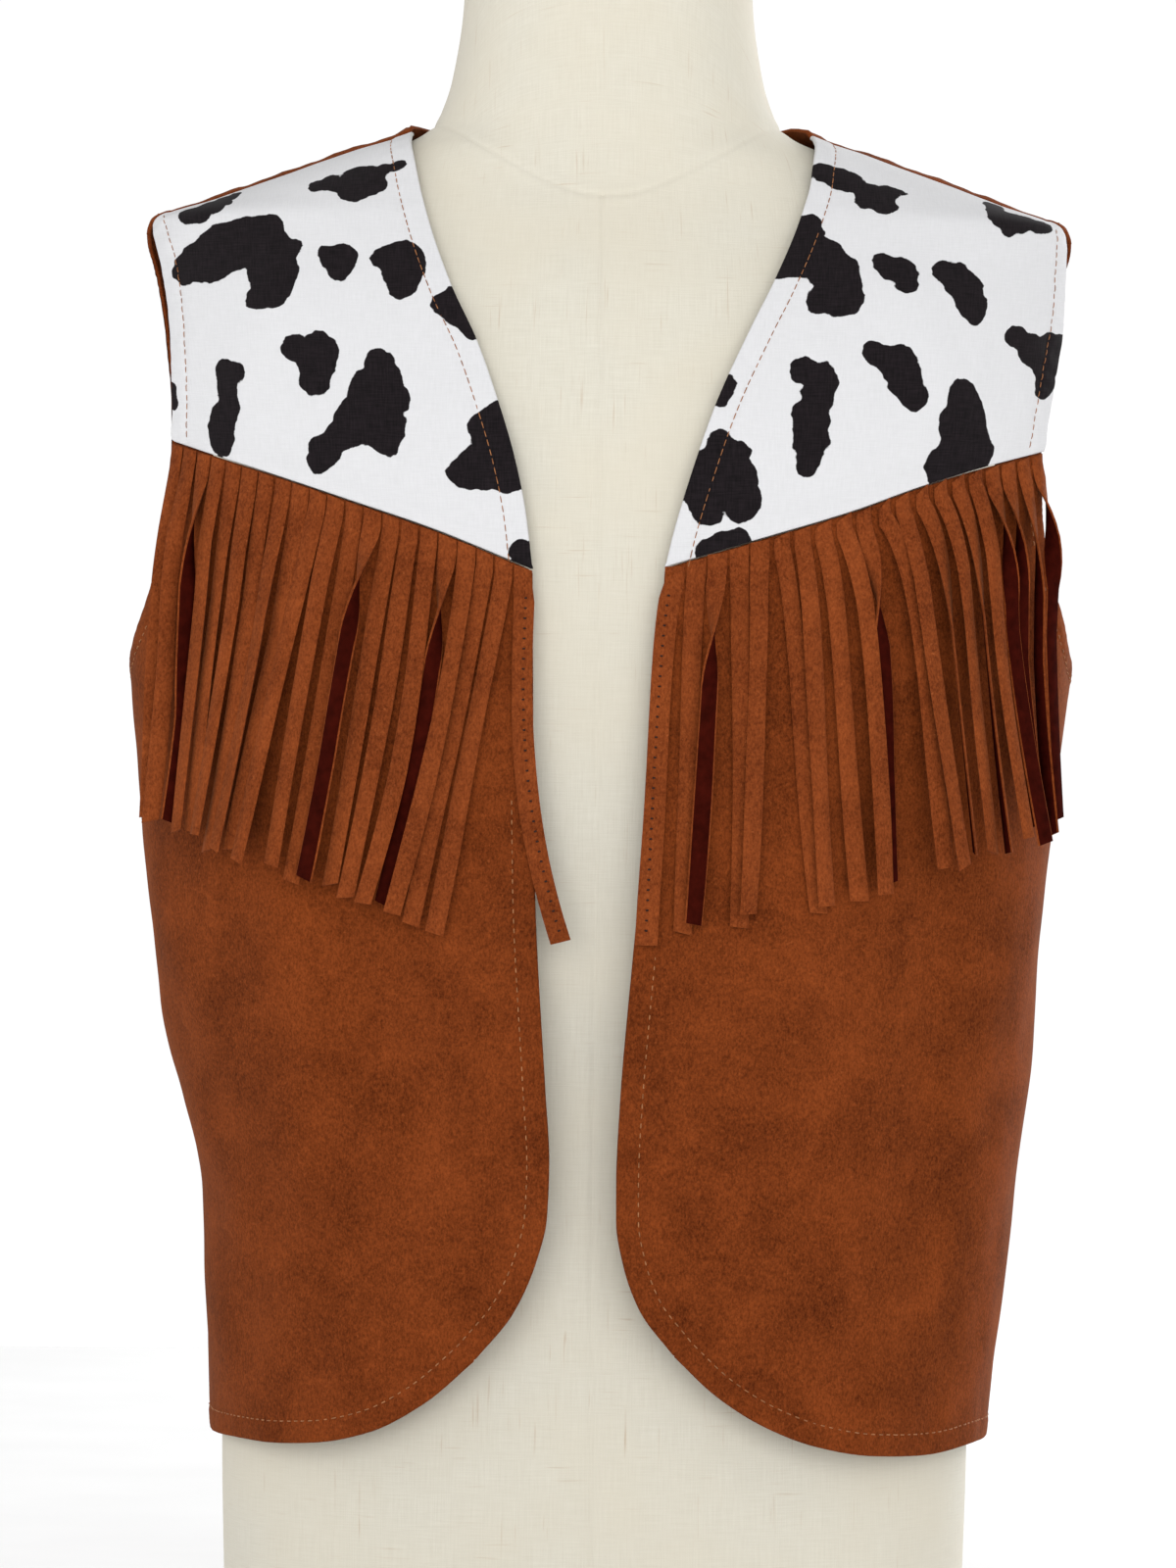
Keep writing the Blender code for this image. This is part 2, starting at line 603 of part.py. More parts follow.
def even_levels(skin, low, high, count):
    """Heights between low and high, closer where the skin runs flat."""
    heights = np.linspace(low, high, LEVEL_SAMPLES)
    widths = skin.table.at(heights)[:, 0]
    steps = np.hypot(np.diff(widths), np.diff(heights))
    travelled = np.concatenate([[0.0], np.cumsum(steps)])
    return np.interp(np.linspace(0, travelled[-1], count), travelled, heights)


def build_form(name, material):
    """The bust: level rings from the flat base to the neck's rounded cap."""
    low, high = FORM_SECTIONS[0][0], FORM_SECTIONS[-1][0]
    levels = even_levels(FORM, low, high, FORM_LEVELS)
    angles = np.linspace(0, 2 * np.pi, FORM_SIDES, endpoint=False)
    points = np.concatenate([FORM.ring(angles, level) for level in levels])
    faces = [tuple(range(FORM_SIDES)), tuple(range(len(points) - FORM_SIDES, len(points)))]
    for level in range(FORM_LEVELS - 1):
        for column in range(FORM_SIDES):
            after = (column + 1) % FORM_SIDES
            low_row, high_row = level * FORM_SIDES, (level + 1) * FORM_SIDES
            faces.append((low_row + column, low_row + after, high_row + after, high_row + column))
    return mesh_object(name, points, faces, material)


def main():
    clear_scene()
    build_form("dress_form", plain_material("linen_cover", *LINEN))
    build_back("back", plain_material("suede_back", *SUEDE))
    for side, word in ((RIGHT, "right"), (LEFT, "left")):
        build_front(side, "front_" + word, plain_material("suede_front_" + word, *SUEDE))
        build_yoke(side, "yoke_" + word, plain_material("cotton_yoke_" + word, *COTTON))
        seam = yoke_seam(side, SEAM_SAMPLES)
        if side == RIGHT:
            seam = seam[::-1]
        suede = plain_material("suede_fringe_" + word, *SUEDE)
        build_fringe(side, "fringe_" + word, FRINGE[side], seam, suede)


main()
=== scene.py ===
import bmesh
import bpy
import numpy as np
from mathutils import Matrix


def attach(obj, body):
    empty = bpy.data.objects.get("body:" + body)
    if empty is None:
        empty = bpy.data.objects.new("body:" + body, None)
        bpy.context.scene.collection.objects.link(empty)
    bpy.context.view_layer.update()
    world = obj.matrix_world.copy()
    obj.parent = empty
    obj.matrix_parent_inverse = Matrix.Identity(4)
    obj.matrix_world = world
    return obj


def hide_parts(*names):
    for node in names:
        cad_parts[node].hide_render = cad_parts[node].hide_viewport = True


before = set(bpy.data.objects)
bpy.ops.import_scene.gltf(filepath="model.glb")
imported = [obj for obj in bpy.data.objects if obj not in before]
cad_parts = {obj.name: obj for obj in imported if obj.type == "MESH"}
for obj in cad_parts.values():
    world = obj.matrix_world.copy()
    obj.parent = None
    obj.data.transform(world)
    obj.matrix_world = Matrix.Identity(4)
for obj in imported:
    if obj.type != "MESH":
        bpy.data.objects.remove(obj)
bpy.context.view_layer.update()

METRES = 0.001
CLOTH = 1.0
SEAM_GAP = 0.3
RIGHT, LEFT = -1, 1
SIDES = ((RIGHT, "right"), (LEFT, "left"))

HEM = 88.0
UNDERARM = 329.0

FORM_SECTIONS = [
    # height, half width, front, back, squareness
    (0, 113, 79, 83, 2.25),
    (3, 115, 80.5, 85, 2.25),
    (44, 116.6, 81.5, 86.5, 2.25),
    (90, 117.6, 82, 87, 2.25),
    (140, 115.5, 81, 83, 2.25),
    (190, 111, 80.5, 77, 2.25),
    (240, 110, 82, 76, 2.25),
    (290, 113, 85, 81, 2.3),
    (340, 118, 86, 87.5, 2.35),
    (380, 122, 83, 89, 2.35),
    (410, 125, 78, 86, 2.3),
    (432, 127, 71.5, 79.5, 2.2),
    (448, 127, 65, 72.5, 2.1),
    (460, 124, 58.5, 66, 2),
    (467, 119.5, 54.5, 61.5, 2),
    (472, 113, 51.8, 58.2, 2),
    (476.5, 104, 49.5, 55.8, 2),
    (482, 92, 47.5, 53.4, 2),
    (490, 73.5, 45.8, 50.8, 2),
    (495, 60.8, 45.2, 49.8, 2),
    (499, 55, 45, 49.2, 2),
    (505, 52, 44.8, 48.8, 2),
    (514, 49.2, 44.5, 48.6, 2),
    (540, 45.6, 43.8, 47.4, 2),
    (566, 45, 43.5, 47, 2),
    (573, 43.5, 42, 45.5, 2),
    (576.5, 39, 37.5, 41, 2),
    (578, 30, 28.5, 32, 2),
]

VEST_SECTIONS = [
    # height, right, left, front, back, squareness
    (88, 120.5, 123, 97, 99, 2.25),
    (126, 122.2, 127, 97, 98, 2.25),
    (163, 124, 131.5, 96.5, 97.5, 2.25),
    (192, 130.5, 135, 96, 97, 2.25),
    (220, 137, 137, 95.5, 96.5, 2.25),
    (250, 141.5, 139.5, 94.5, 96, 2.25),
    (284, 144.5, 142, 93.5, 95.5, 2.25),
    (330, 148, 147.5, 91.5, 95, 2.3),
    (365, 148.5, 149, 89.5, 94.5, 2.3),
    (400, 148, 149.5, 84.5, 91.5, 2.3),
    (425, 147, 149, 78, 86.5, 2.2),
    (445, 146, 148, 70, 79, 2.1),
    (458, 145, 147, 63, 72, 2),
    (468, 143, 144.5, 56.5, 65.5, 2),
    (475, 124, 126, 52.8, 61, 2),
    (482, 104.5, 107, 49.8, 57.8, 2),
    (490, 82, 84.5, 48, 55, 2),
    (497, 61.5, 64.5, 47.3, 53.3, 2),
    (504, 55, 56, 47, 52, 2),
]

# Soft swells of the worn cloth: a ridge lifts it off the skin, a trough is a ridge below it.
FOLDS = [
    # front or back (-1, 1), from x, from z, to x, to z, half width, lift
    (-1, -104, 330, -84, 120, 13, 2.4),
    (-1, -66, 300, -58, 130, 15, -2),
    (-1, 58, 310, 66, 110, 16, 2),
    (-1, 104, 330, 98, 100, 12, -2.2),
    (-1, 92, 460, 104, 405, 11, 1.6),
    (-1, -96, 462, -112, 405, 10, 1.4),
    (1, -88, 320, -70, 96, 15, 3.2),
    (1, -34, 250, -26, 92, 14, -2.4),
    (1, 22, 290, 30, 94, 16, 2.8),
    (1, 84, 330, 76, 96, 14, -2.4),
    (1, 112, 350, 104, 110, 12, 2.6),
]

# Narrow creases, each placed on its own, in the same form as the folds.
CREASES = [
    (-1, -124, 352, -84, 322, 4, 0.9),
    (-1, -120, 338, -96, 286, 5, -0.8),
    (-1, -46, 214, -24, 168, 4.5, 0.7),
    (-1, -86, 196, -52, 176, 5, 0.6),
    (-1, -100, 140, -70, 118, 4.5, 0.7),
    (-1, 28, 236, 60, 206, 5, 0.7),
    (-1, 40, 168, 84, 146, 4.5, -0.6),
    (-1, 92, 232, 116, 180, 5, 0.8),
    (-1, 118, 340, 92, 300, 4.5, 0.9),
    (-1, -122, 434, -104, 398, 3.6, 0.7),
    (-1, -60, 398, -42, 366, 4, 0.35),
    (-1, 58, 440, 84, 402, 4.5, 0.4),
    (-1, 118, 430, 106, 394, 3.4, 0.6),
    (1, -134, 352, -86, 300, 5, 1.5),
    (1, -126, 338, -100, 262, 5.5, 1.2),
    (1, -118, 396, -74, 366, 4.5, 1.2),
    (1, -66, 456, -26, 424, 6, 1.1),
    (1, -58, 336, -6, 314, 5.5, 1),
    (1, 10, 456, 62, 434, 6, 1),
    (1, 134, 356, 84, 318, 4.5, 1.5),
    (1, 124, 330, 92, 268, 5, 1.1),
    (1, 108, 412, 72, 358, 4.5, 1.1),
    (1, 34, 220, 84, 190, 5, 1.1),
    (1, -96, 178, -40, 142, 5, 1.2),
    (1, 4, 160, 22, 98, 5, 1.3),
    (1, -114, 252, -94, 184, 4.5, -1.1),
    (1, 56, 140, 92, 108, 4.5, 1),
    (1, -30, 262, 18, 246, 5, 0.8),
]

NECK_EDGE = {
    # across, height; from the neck point down to the yoke seam
    RIGHT: [(59.5, 484), (55, 466), (47.5, 445), (39.5, 428), (32.5, 408.5),
            (27.5, 392), (24, 376)],
    LEFT: [(63.5, 481), (60, 468), (52, 448), (44, 431.5), (34, 409),
           (27, 388.5), (21, 368)],
}
NECK_POINT = {RIGHT: (61, 9, 496.5), LEFT: (64, 9, 496.5)}
SHOULDER_TIP = {RIGHT: (142.5, 6, 467.5), LEFT: (144, 6, 467)}

YOKE_SEAM = {
    # across, height; from the front edge out to the armhole
    RIGHT: [(21.5, 357), (29, 360), (51.5, 369), (76.5, 377.5), (103, 386.5),
            (116.5, 391), (133.5, 397)],
    LEFT: [(18.7, 358), (25, 360), (47.5, 367), (76, 376), (95.5, 383.5),
           (113, 389.5), (135.5, 396.5)],
}

FRONT_EDGE = {
    # across, height; from the yoke seam to the middle of the rounded corner
    RIGHT: [(21.5, 357), (21, 320), (19.6, 255), (16, 199), (14.6, 176), (15.2, 160),
            (18.5, 146), (25, 131), (37, 116)],
    LEFT: [(18.7, 358), (16.5, 320), (11, 250), (6.6, 195), (5.7, 172), (5.8, 159),
           (8.3, 145), (13, 132.5), (24, 118)],
}
FRONT_HEM = {
    # across, height; from the middle of the rounded corner towards the side seam
    RIGHT: [(37, 116), (52.5, 102.5), (68.5, 93.5), (85, 89.3), (102, HEM), (116, HEM)],
    LEFT: [(24, 118), (37, 106), (52, 96.5), (67, 90.5), (84, 87), (102, 86),
           (118, HEM)],
}

ARMHOLE_FRONT = {
    # forward, height; from the shoulder tip down to the yoke seam
    RIGHT: [(18.5, 454.5), (28.5, 439.5), (35, 425), (40, 411)],
    LEFT: [(14, 453), (22.5, 436), (33, 418)],
}
ARMHOLE_UNDER = [(43, 383), (39, 363), (30, 346), (16, 334)]
ARMHOLE_BACK = [(-5, 461), (-17, 449), (-28, 434), (-36, 414), (-40, 394),
                (-39.5, 374), (-34, 356), (-24, 342), (-12, 332.5)]
BACK_NECK = [
    # across, backward, height; from the neck point to the middle of the back
    (58.5, 6, 499.5), (52, 24, 500), (38, 40, 497.5), (20, 49.5, 494.5), (0, 53, 493.5),
]

# Coarse cells along each piece's edges, and how finely an edge is followed.
YOKE_COLUMNS = 12
YOKE_ROWS = 12
UNDER_ROWS = 7
SIDE_ROWS = 14
NECK_COLUMNS = 8
EDGE_POINTS = 40
CURVE_SAMPLES = 400
SIDE_SAMPLES = 12
HEM_SAMPLES = 40

# Columns and rows of each piece's fine grid.
YOKE_MESH = (84, 92)
FRONT_MESH = (72, 172)
BACK_MESH = (156, 184)

# Where a piece is drawn in for its seams, the row next to the rim follows part of the way. A corner
# counts as smooth where its two edges move much the same way.
NEAR_SHARE = 0.6
SMOOTH_CORNER = 0.5

# An edge is searched at every sixth of its points, for so many points of the cloth at once. A point
# that has no edge near it counts as far away.
SEARCH_STEP = 6
SEARCH_BATCH = 2000
FAR_AWAY = 99.0

# Faint unevenness of the cloth: the length and height of each wave. Where the cloth rests on the
# shoulders, only a share of it is left.
RIPPLES = [(61.0, 0.22), (47.0, 0.2), (37.0, 0.16), (29.0, 0.12), (23.0, 0.1), (17.0, 0.07),
           (13.0, 0.05), (11.0, 0.04)]
RIPPLE_SEED = 11
RESTING_LEVEL = 470.0
RESTING_FADE = 50.0
RESTING_SHARE = 0.25

# The turned and topstitched edge.
HEM_MARGIN = 6.8
HEM_SWELL = 0.28
INNER_SWELL = 0.16
TURN_FADE = 0.45
STITCH_DIP = 0.24
STITCH_DIP_WIDTH = 0.9

# Puckers beside the topstitching and the slow wave of a free hem. A wave along an edge is given by
# its turn in radians for each mm, its start and its height.
PUCKER_HEIGHT = 0.16
PUCKER_RATE = 0.93
PUCKER_WANDER = [(0.21, 0.0, 2.1)]
PUCKER_MIDDLE = 5.0
PUCKER_WIDTH = 4.5
HEM_WAVES = [(0.083, 1.3, 1.0), (0.141, 0.4, 0.6)]
HEM_WAVE_REACH = 15.0
HEM_WAVE = 0.5

# The dip along a seam, the yoke's lip over the fringe, and the bulk beside the shoulder seam.
SEAM_DIP = 0.25
SEAM_DIP_WIDTH = 1.6
YOKE_LIP = 1.2
LIP_REACH = 6.0
SEAM_BULK = 0.95
BULK_MIDDLE = 5.5
BULK_WIDTH = 4.5
BULK_LUMPS = [(0.31, 0.8, 0.22), (0.77, 0.0, 0.14)]
BULK_END = 141.0
BULK_FADE = 22.0

# The rounded rim of a shell, as turns from its outer face to its inner one.
RIM_TURNS = np.radians([58.0, 20.0, -20.0, -58.0])

# A stitch line follows every fourth point of its edge. Each kind of stitch has a length and a radius.
LINE_STEP = 4
STITCH_PITCH = 3.0
FIRST_STITCH = 1.0
YOKE_RUN_ON = 3.6
SUEDE_STITCH = (1.75, 0.21)
COTTON_STITCH = (2.6, 0.15)
STITCH_SIDES = 6
STITCH_FLATNESS = 0.8
STITCH_STEPS = [
    # share of the length, height over the cloth, share of the radius
    (-0.04, -0.42, 0.5), (0.1, 0.0, 0.9), (0.32, 0.15, 1.0), (0.68, 0.15, 1.0),
    (0.9, 0.0, 0.9), (1.04, -0.42, 0.5),
]
# The fringe covers the front's stitches above these heights: in the strip beside the middle, where
# it differs by side, and by the armhole.
MIDDLE_STRIP = 60.0
COVERED_EDGE = {RIGHT: 289.0, LEFT: 241.0}
COVERED_ARMHOLE = 384.0

# The fringe: a narrow strip under the yoke seam, cut into strands below it.
FRINGE_LIFT = CLOTH + SEAM_GAP
STRIP_HEIGHT = 4.0
SLIT_START = 1.2
ROOT_RISES = np.array([STRIP_HEIGHT - SEAM_GAP, STRIP_HEIGHT - SLIT_START, 1.2])
ROOT_SINK = 0.25
STRAND_WIDTH = 5.7
STRAND_LENGTH = 111.0
STRAND_CLOTH = 0.8
STRAND_STEPS = np.concatenate([np.linspace(1.0, 14.0, 6), np.linspace(18.0, STRAND_LENGTH, 24)])
# Points round a strand's section: share of half the width, share of half the thickness.
STRAND_SECTION = [(-0.86, 1.0), (0.0, 1.0), (0.86, 1.0), (1.0, 0.0), (0.86, -1.0), (0.0, -1.0),
                  (-0.86, -1.0), (-1.0, 0.0)]
REVERSE_SIDES = (4, 5)

# How a strand hangs. Lengths are measured down it from its root, and the edge strand that swings
# out over the form drifts later than the rest.
DRIFT_POWER = 1.25
LATE_DRIFT_POWER = 2.4
KICK_LENGTH = 11.0
KICKS = {RIGHT: (-0.05, 0.08), LEFT: (0.16, 0.4)}
FORWARD_LEAN = 0.02
TURN_START = 4.0
TURN_LENGTH = 34.0
LIFT_LENGTH = 22.0
SINK_START = 30.0
SINK_LENGTH = 85.0
SINK_SHARE = 0.6
SLANT_LENGTH = 9.0

# What differs from strand to strand, drawn by chance from these ranges.
FRINGE_SEED = 23
STRAND_BOW = 3.6
BOW_BLEND = (0.3, 0.4, 0.3)
LENGTH_SPREAD = 0.022
TWIST = 13.0
TWIST_WAVES = (0.7, 1.6)
CURLS = (-0.3, 0.55)
CURL_LENGTH = 30.0
CURL_LEVEL = 0.4
WIDTH_SPREAD = 0.05
WIDTH_WAVES = (5, 9)
SWAY = 0.35
SWAY_WAVES = (4, 8)
WAVE_STARTS = (0, 6)
CUT_SLANT = 0.9

# The strand at the front edge is wider, and old needle holes run along it, drawn as small marks coloured
# with painted shade.
EDGE_STRAND_EXTRA = 0.9
EXTRA_LENGTH = 6.0
NEEDLE_INSET = 1.0
NEEDLE_PITCH = 3.1
FIRST_NEEDLE = 9.0
LAST_NEEDLE = 3.0
HOLE_RADIUS = 0.44
HOLE_REACH = 0.28
HOLE_RISE = 0.02

FRINGE = {
    # drift along X at the tip, stand-off, turn in degrees; from the armhole to the front edge
    RIGHT: [(-7.2, 0.4, -44), (-8.8, 2.4, -36), (-8.4, 0.6, 115), (-9.4, 2.2, 8), (-11.4, 0.6, 12),
            (-14.1, 1.8, 14), (-15.8, 0.6, 15), (-18.3, 1.8, 16), (-20.1, 0.6, 14), (-22.4, 1.8, 14),
            (-17.4, 2.6, 8), (-17.5, 0.3, -5), (-18.8, 3.0, 180), (-17.6, 0.4, 6), (-17.7, 1.2, -4),
            (-17.8, 2.2, 6), (-19.2, 0.0, 180), (-20.6, 3.2, 4), (-21.4, 0.8, -6), (-19.6, 1.2, 5),
            (12.3, 0.6, 6)],
    # the same, from the front edge to the armhole
    LEFT: [(-7.2, 0.6, 8), (-3.5, 0.2, -5), (-7.5, 2.4, 178), (0.7, 0.2, 4), (-4.2, 2.2, -8),
           (11.9, 0.2, 6), (7.7, 2.4, -10), (11.6, 0.8, 8), (12.1, 3.4, -7), (9.7, 0.2, 176),
           (20.1, 0.2, 8), (17.8, 3.2, -6), (17.2, 0.6, -60), (15.5, 2.0, -20), (15.4, 0.8, -62),
           (14.7, 3.2, -8), (15.4, 1.4, -165), (9.9, 0.6, -150), (7.9, 1.6, -80), (5.6, 1.6, -172)],
}

# The form's points stand closest together at the middle of the front and back, and in each column
# at the seam round the foot of the neck. That seam dips in front and a little behind.
FAN_POINTS = 111
FAN_EVENNESS = 0.28
TRACK_SAMPLES = 900
LOW_SHARES = np.concatenate([np.linspace(0, 0.985, 170)[:-1], np.linspace(0.985, 1, 9)])
HIGH_SHARES = np.concatenate([np.linspace(0, 0.06, 9)[1:-1], np.linspace(0.06, 1, 46)])
NECK_SEAM = 499.0
NECK_DIP_FRONT = 24.5
NECK_DIP_BACK = 3.0
TOP_MARGIN = 0.1
# The form's own front seam lies a little off the middle. A seam is a groove between two low rises,
# each given by its height, its distance from the seam and its width.
FORM_SEAM_X = -1.5
SEAM_PROFILE = [(-0.38, 0.0, 0.7), (0.1, 2.4, 1.4)]

# The picture's scale: its pixels are placed on the vest's skin as a far camera sees them.
PICTURE_WIDE = 1200
PICTURE_HIGH = 1600
MM_PER_PIXEL = 0.31
CAMERA_DISTANCE = 2400.0
CAMERA_HEIGHT = 292.0
MIDLINE_TOP = 621.0
MIDLINE_LEAN = 0.01
FIRST_DEPTH = -80.0
DEPTH_ROUNDS = 12

# The cow spots, charted loosely as overlapping discs: across, down and radius in picture pixels.
SPOTS = {
    RIGHT: [
        [(324, 193, 7), (340, 189, 11), (343, 194, 8), (362, 184, 13), (354, 202, 9), (364, 198, 11),
         (376, 194, 12), (374, 182, 13), (385, 190, 9),
         (392, 176, 6), (404, 172, 4), (411, 170, 3)],
        [(188, 226, 6), (196, 223, 9), (197, 227, 6), (206, 218, 11), (207, 223, 8), (218, 213, 11),
         (220, 218, 7), (230, 208, 9), (231, 212, 6), (241, 203, 6)],
        [(195, 275, 19), (188, 286, 12), (211, 269, 27), (230, 259, 30), (257, 250, 28), (269, 240, 19),
         (275, 262, 26), (279, 286, 25), (277, 302, 18), (260, 311, 10), (303, 256, 4)],
        [(338, 262, 11), (353, 262, 11), (347, 271, 13), (347, 281, 7)],
        [(395, 266, 13), (411, 263, 15), (417, 257, 10), (420, 271, 11), (410, 280, 18), (411, 296, 12)],
        [(453, 310, 10), (465, 310, 12), (473, 325, 12), (479, 340, 8), (464, 322, 9)],
        [(303, 358, 13), (326, 353, 12), (332, 361, 11), (320, 373, 18), (323, 389, 15)],
        [(230, 383, 11), (243, 382, 7), (234, 398, 13), (233, 415, 12), (228, 430, 15), (227, 445, 15),
         (227, 460, 11)],
        [(387, 374, 12), (389, 388, 18), (380, 406, 27), (383, 424, 27), (389, 439, 22), (395, 451, 12),
         (405, 409, 9), (362, 430, 22), (344, 448, 14), (332, 463, 15), (329, 475, 11)],
        [(494, 436, 14), (509, 427, 13), (507, 448, 22), (515, 472, 22), (494, 478, 21), (473, 484, 15),
         (515, 490, 15), (527, 487, 10)],
        [(531, 565, 11), (538, 571, 12)],
        [(174, 408, 7), (171, 416, 6)],
    ],
    LEFT: [
        [(837, 173, 10), (852, 179, 12), (858, 185, 11), (867, 187, 13), (885, 192, 13), (884, 201, 12),
         (897, 206, 13), (906, 194, 10),
         (918, 194, 4), (906, 209, 6)],
        [(1011, 207, 9), (1017, 213, 10), (1019, 220, 10), (1029, 226, 10), (1036, 219, 11), (1042, 225, 8),
         (1050, 224, 8), (1060, 228, 6), (1068, 231, 4)],
        [(822, 232, 15), (816, 250, 19), (806, 268, 18), (797, 275, 9), (834, 262, 24), (849, 274, 25),
         (855, 295, 22), (862, 307, 15), (837, 304, 13)],
        [(897, 265, 9), (909, 271, 12), (921, 274, 12), (922, 286, 9)],
        [(960, 277, 10), (979, 280, 13), (987, 289, 15), (990, 304, 15), (994, 317, 12), (972, 289, 11)],
        [(1036, 338, 12), (1050, 352, 15), (1068, 352, 18), (1077, 346, 12), (1065, 370, 18),
         (1063, 388, 14), (1080, 364, 12)],
        [(895, 359, 11), (915, 362, 14), (922, 374, 15), (925, 391, 15), (930, 406, 11), (906, 373, 12)],
        [(819, 376, 13), (837, 388, 15), (834, 406, 14), (826, 424, 18), (829, 442, 18), (826, 460, 12),
         (822, 473, 9), (843, 374, 4)],
        [(981, 394, 11), (982, 409, 18), (981, 430, 26), (984, 451, 29), (993, 460, 21), (963, 475, 22),
         (978, 478, 21)],
        [(741, 394, 6), (737, 404, 6), (744, 388, 4)],
        [(735, 451, 12), (732, 469, 18), (754, 460, 9), (729, 490, 26), (720, 502, 20), (723, 520, 14),
         (753, 487, 19), (754, 511, 18)],
        [(735, 562, 15), (753, 556, 14), (723, 569, 12)],
    ],
}
SPOT_BLEND = 0.9
SPOT_REACH = 30.0
SPOT_GROWTH = 0.75

# Colours as red, green and blue: dark, light and fleck of the suedes, dark and light of the rest. The
# needle holes' pair is painted shade.
SUEDE = ((0.052, 0.0092, 0.0014), (0.225, 0.048, 0.0094), (0.3, 0.075, 0.018))
STRAND_SUEDE = ((0.078, 0.0142, 0.0028), (0.262, 0.06, 0.0138), (0.34, 0.094, 0.027))
SUEDE_SHEEN = (1.0, 0.45, 0.2)
REVERSE = ((0.02, 0.0018, 0.0008), (0.04, 0.0036, 0.0016))
COTTON_WHITE = ((0.55, 0.55, 0.56), (0.595, 0.595, 0.607))
COTTON_BLACK = ((0.004, 0.003, 0.0035), (0.014, 0.01, 0.012))
LINEN = ((0.53, 0.5, 0.42), (0.6, 0.575, 0.495))
LINEN_PATCH = (0.575, 0.53, 0.43)
LINEN_SLUB = (0.4, 0.28, 0.18)
THREAD = ((0.21, 0.075, 0.022), (0.33, 0.135, 0.048))
# Near-black painted shade inside the old needle holes, which are real.
NEEDLE_HOLE_SHADE = ((0.008, 0.002, 0.001), (0.014, 0.003, 0.0015))
PALE_FLOOR = ((0.84, 0.84, 0.84), (0.87, 0.87, 0.87))
WHITE = (1.0, 1.0, 1.0)

# The studio, in metres and watts.
FLOOR_REACH = 1.5
LIGHT_TARGET = (0.0, 0.0, 0.3)
LIGHTS = [
    # name, place, size, strength
    ("key", (-0.55, -2.5, 0.7), (2.0, 2.0), 29.5),
    ("top", (0.0, -1.1, 2.3), (1.8, 1.4), 5.5),
    ("fill", (1.0, -2.4, 0.5), (1.8, 1.8), 17.0),
    ("side_right", (-2.2, 0.1, 0.8), (1.6, 1.6), 15.0),
    ("side_left", (2.2, 0.1, 0.8), (1.6, 1.6), 10.5),
    ("back_key", (1.5, 2.0, 1.2), (1.2, 1.2), 48.0),
]
# The backdrops in front and behind are white, and the rest of the studio is a softer grey.
BACKDROP = {"From Min": 0.72, "From Max": 0.97, "To Min": 0.55, "To Max": 1.02}
SENSOR_WIDTH = 36.0
CLIP_START = 0.05
CLIP_END = 50.0


def unit(vectors):
    return vectors / np.linalg.norm(vectors, axis=1)[:, None]


def lengths_along(curve):
    """How far along a curve each of its points lies."""
    return np.concatenate([[0.0], np.cumsum(np.linalg.norm(np.diff(curve, axis=0), axis=1))])


def read_at(stops, places, values):
    """Rows of three values, known at places, read at the stops between them."""
    return np.stack([np.interp(stops, places, values[:, axis]) for axis in range(3)], axis=1)


def waves(place, rows):
    return sum(height * np.sin(place * rate + start) for rate, start, height in rows)


def gentle_slopes(steps, rises):
    """Slopes for a curve through a table's rows that stays between them."""
    slopes = np.zeros((len(rises) + 1, rises.shape[1]))
    before, after = rises[:-1], rises[1:]
    near_weight = 2 * steps[1:] + steps[:-1]
    far_weight = steps[1:] + 2 * steps[:-1]
    same_way = before * after > 0
    safe_before = np.where(same_way, before, 1.0)
    safe_after = np.where(same_way, after, 1.0)
    mean = (near_weight + far_weight) / (near_weight / safe_before + far_weight / safe_after)
    slopes[1:-1] = np.where(same_way, mean, 0.0)
    slopes[0] = rises[0]
    slopes[-1] = rises[-1]
    return slopes


class SmoothTable:
    """Reads every column of a table smoothly at any value of the first one."""

    def __init__(self, keys, values):
        self.keys = np.asarray(keys, dtype=float)
        self.values = np.asarray(values, dtype=float)
        steps = np.diff(self.keys)[:, None]
        self.slopes = gentle_slopes(steps, np.diff(self.values, axis=0) / steps)

    def at(self, keys):
        keys = np.clip(keys, self.keys[0], self.keys[-1])
        row = np.clip(np.searchsorted(self.keys, keys) - 1, 0, len(self.keys) - 2)
        step = (self.keys[row + 1] - self.keys[row])[:, None]
        share = (keys - self.keys[row])[:, None] / step
        low_part = self.values[row] * (1 + 2 * share) + self.slopes[row] * step * share
        high_part = self.values[row + 1] * (3 - 2 * share) + self.slopes[row + 1] * step * (share - 1)
        return low_part * (1 - share) ** 2 + high_part * share ** 2


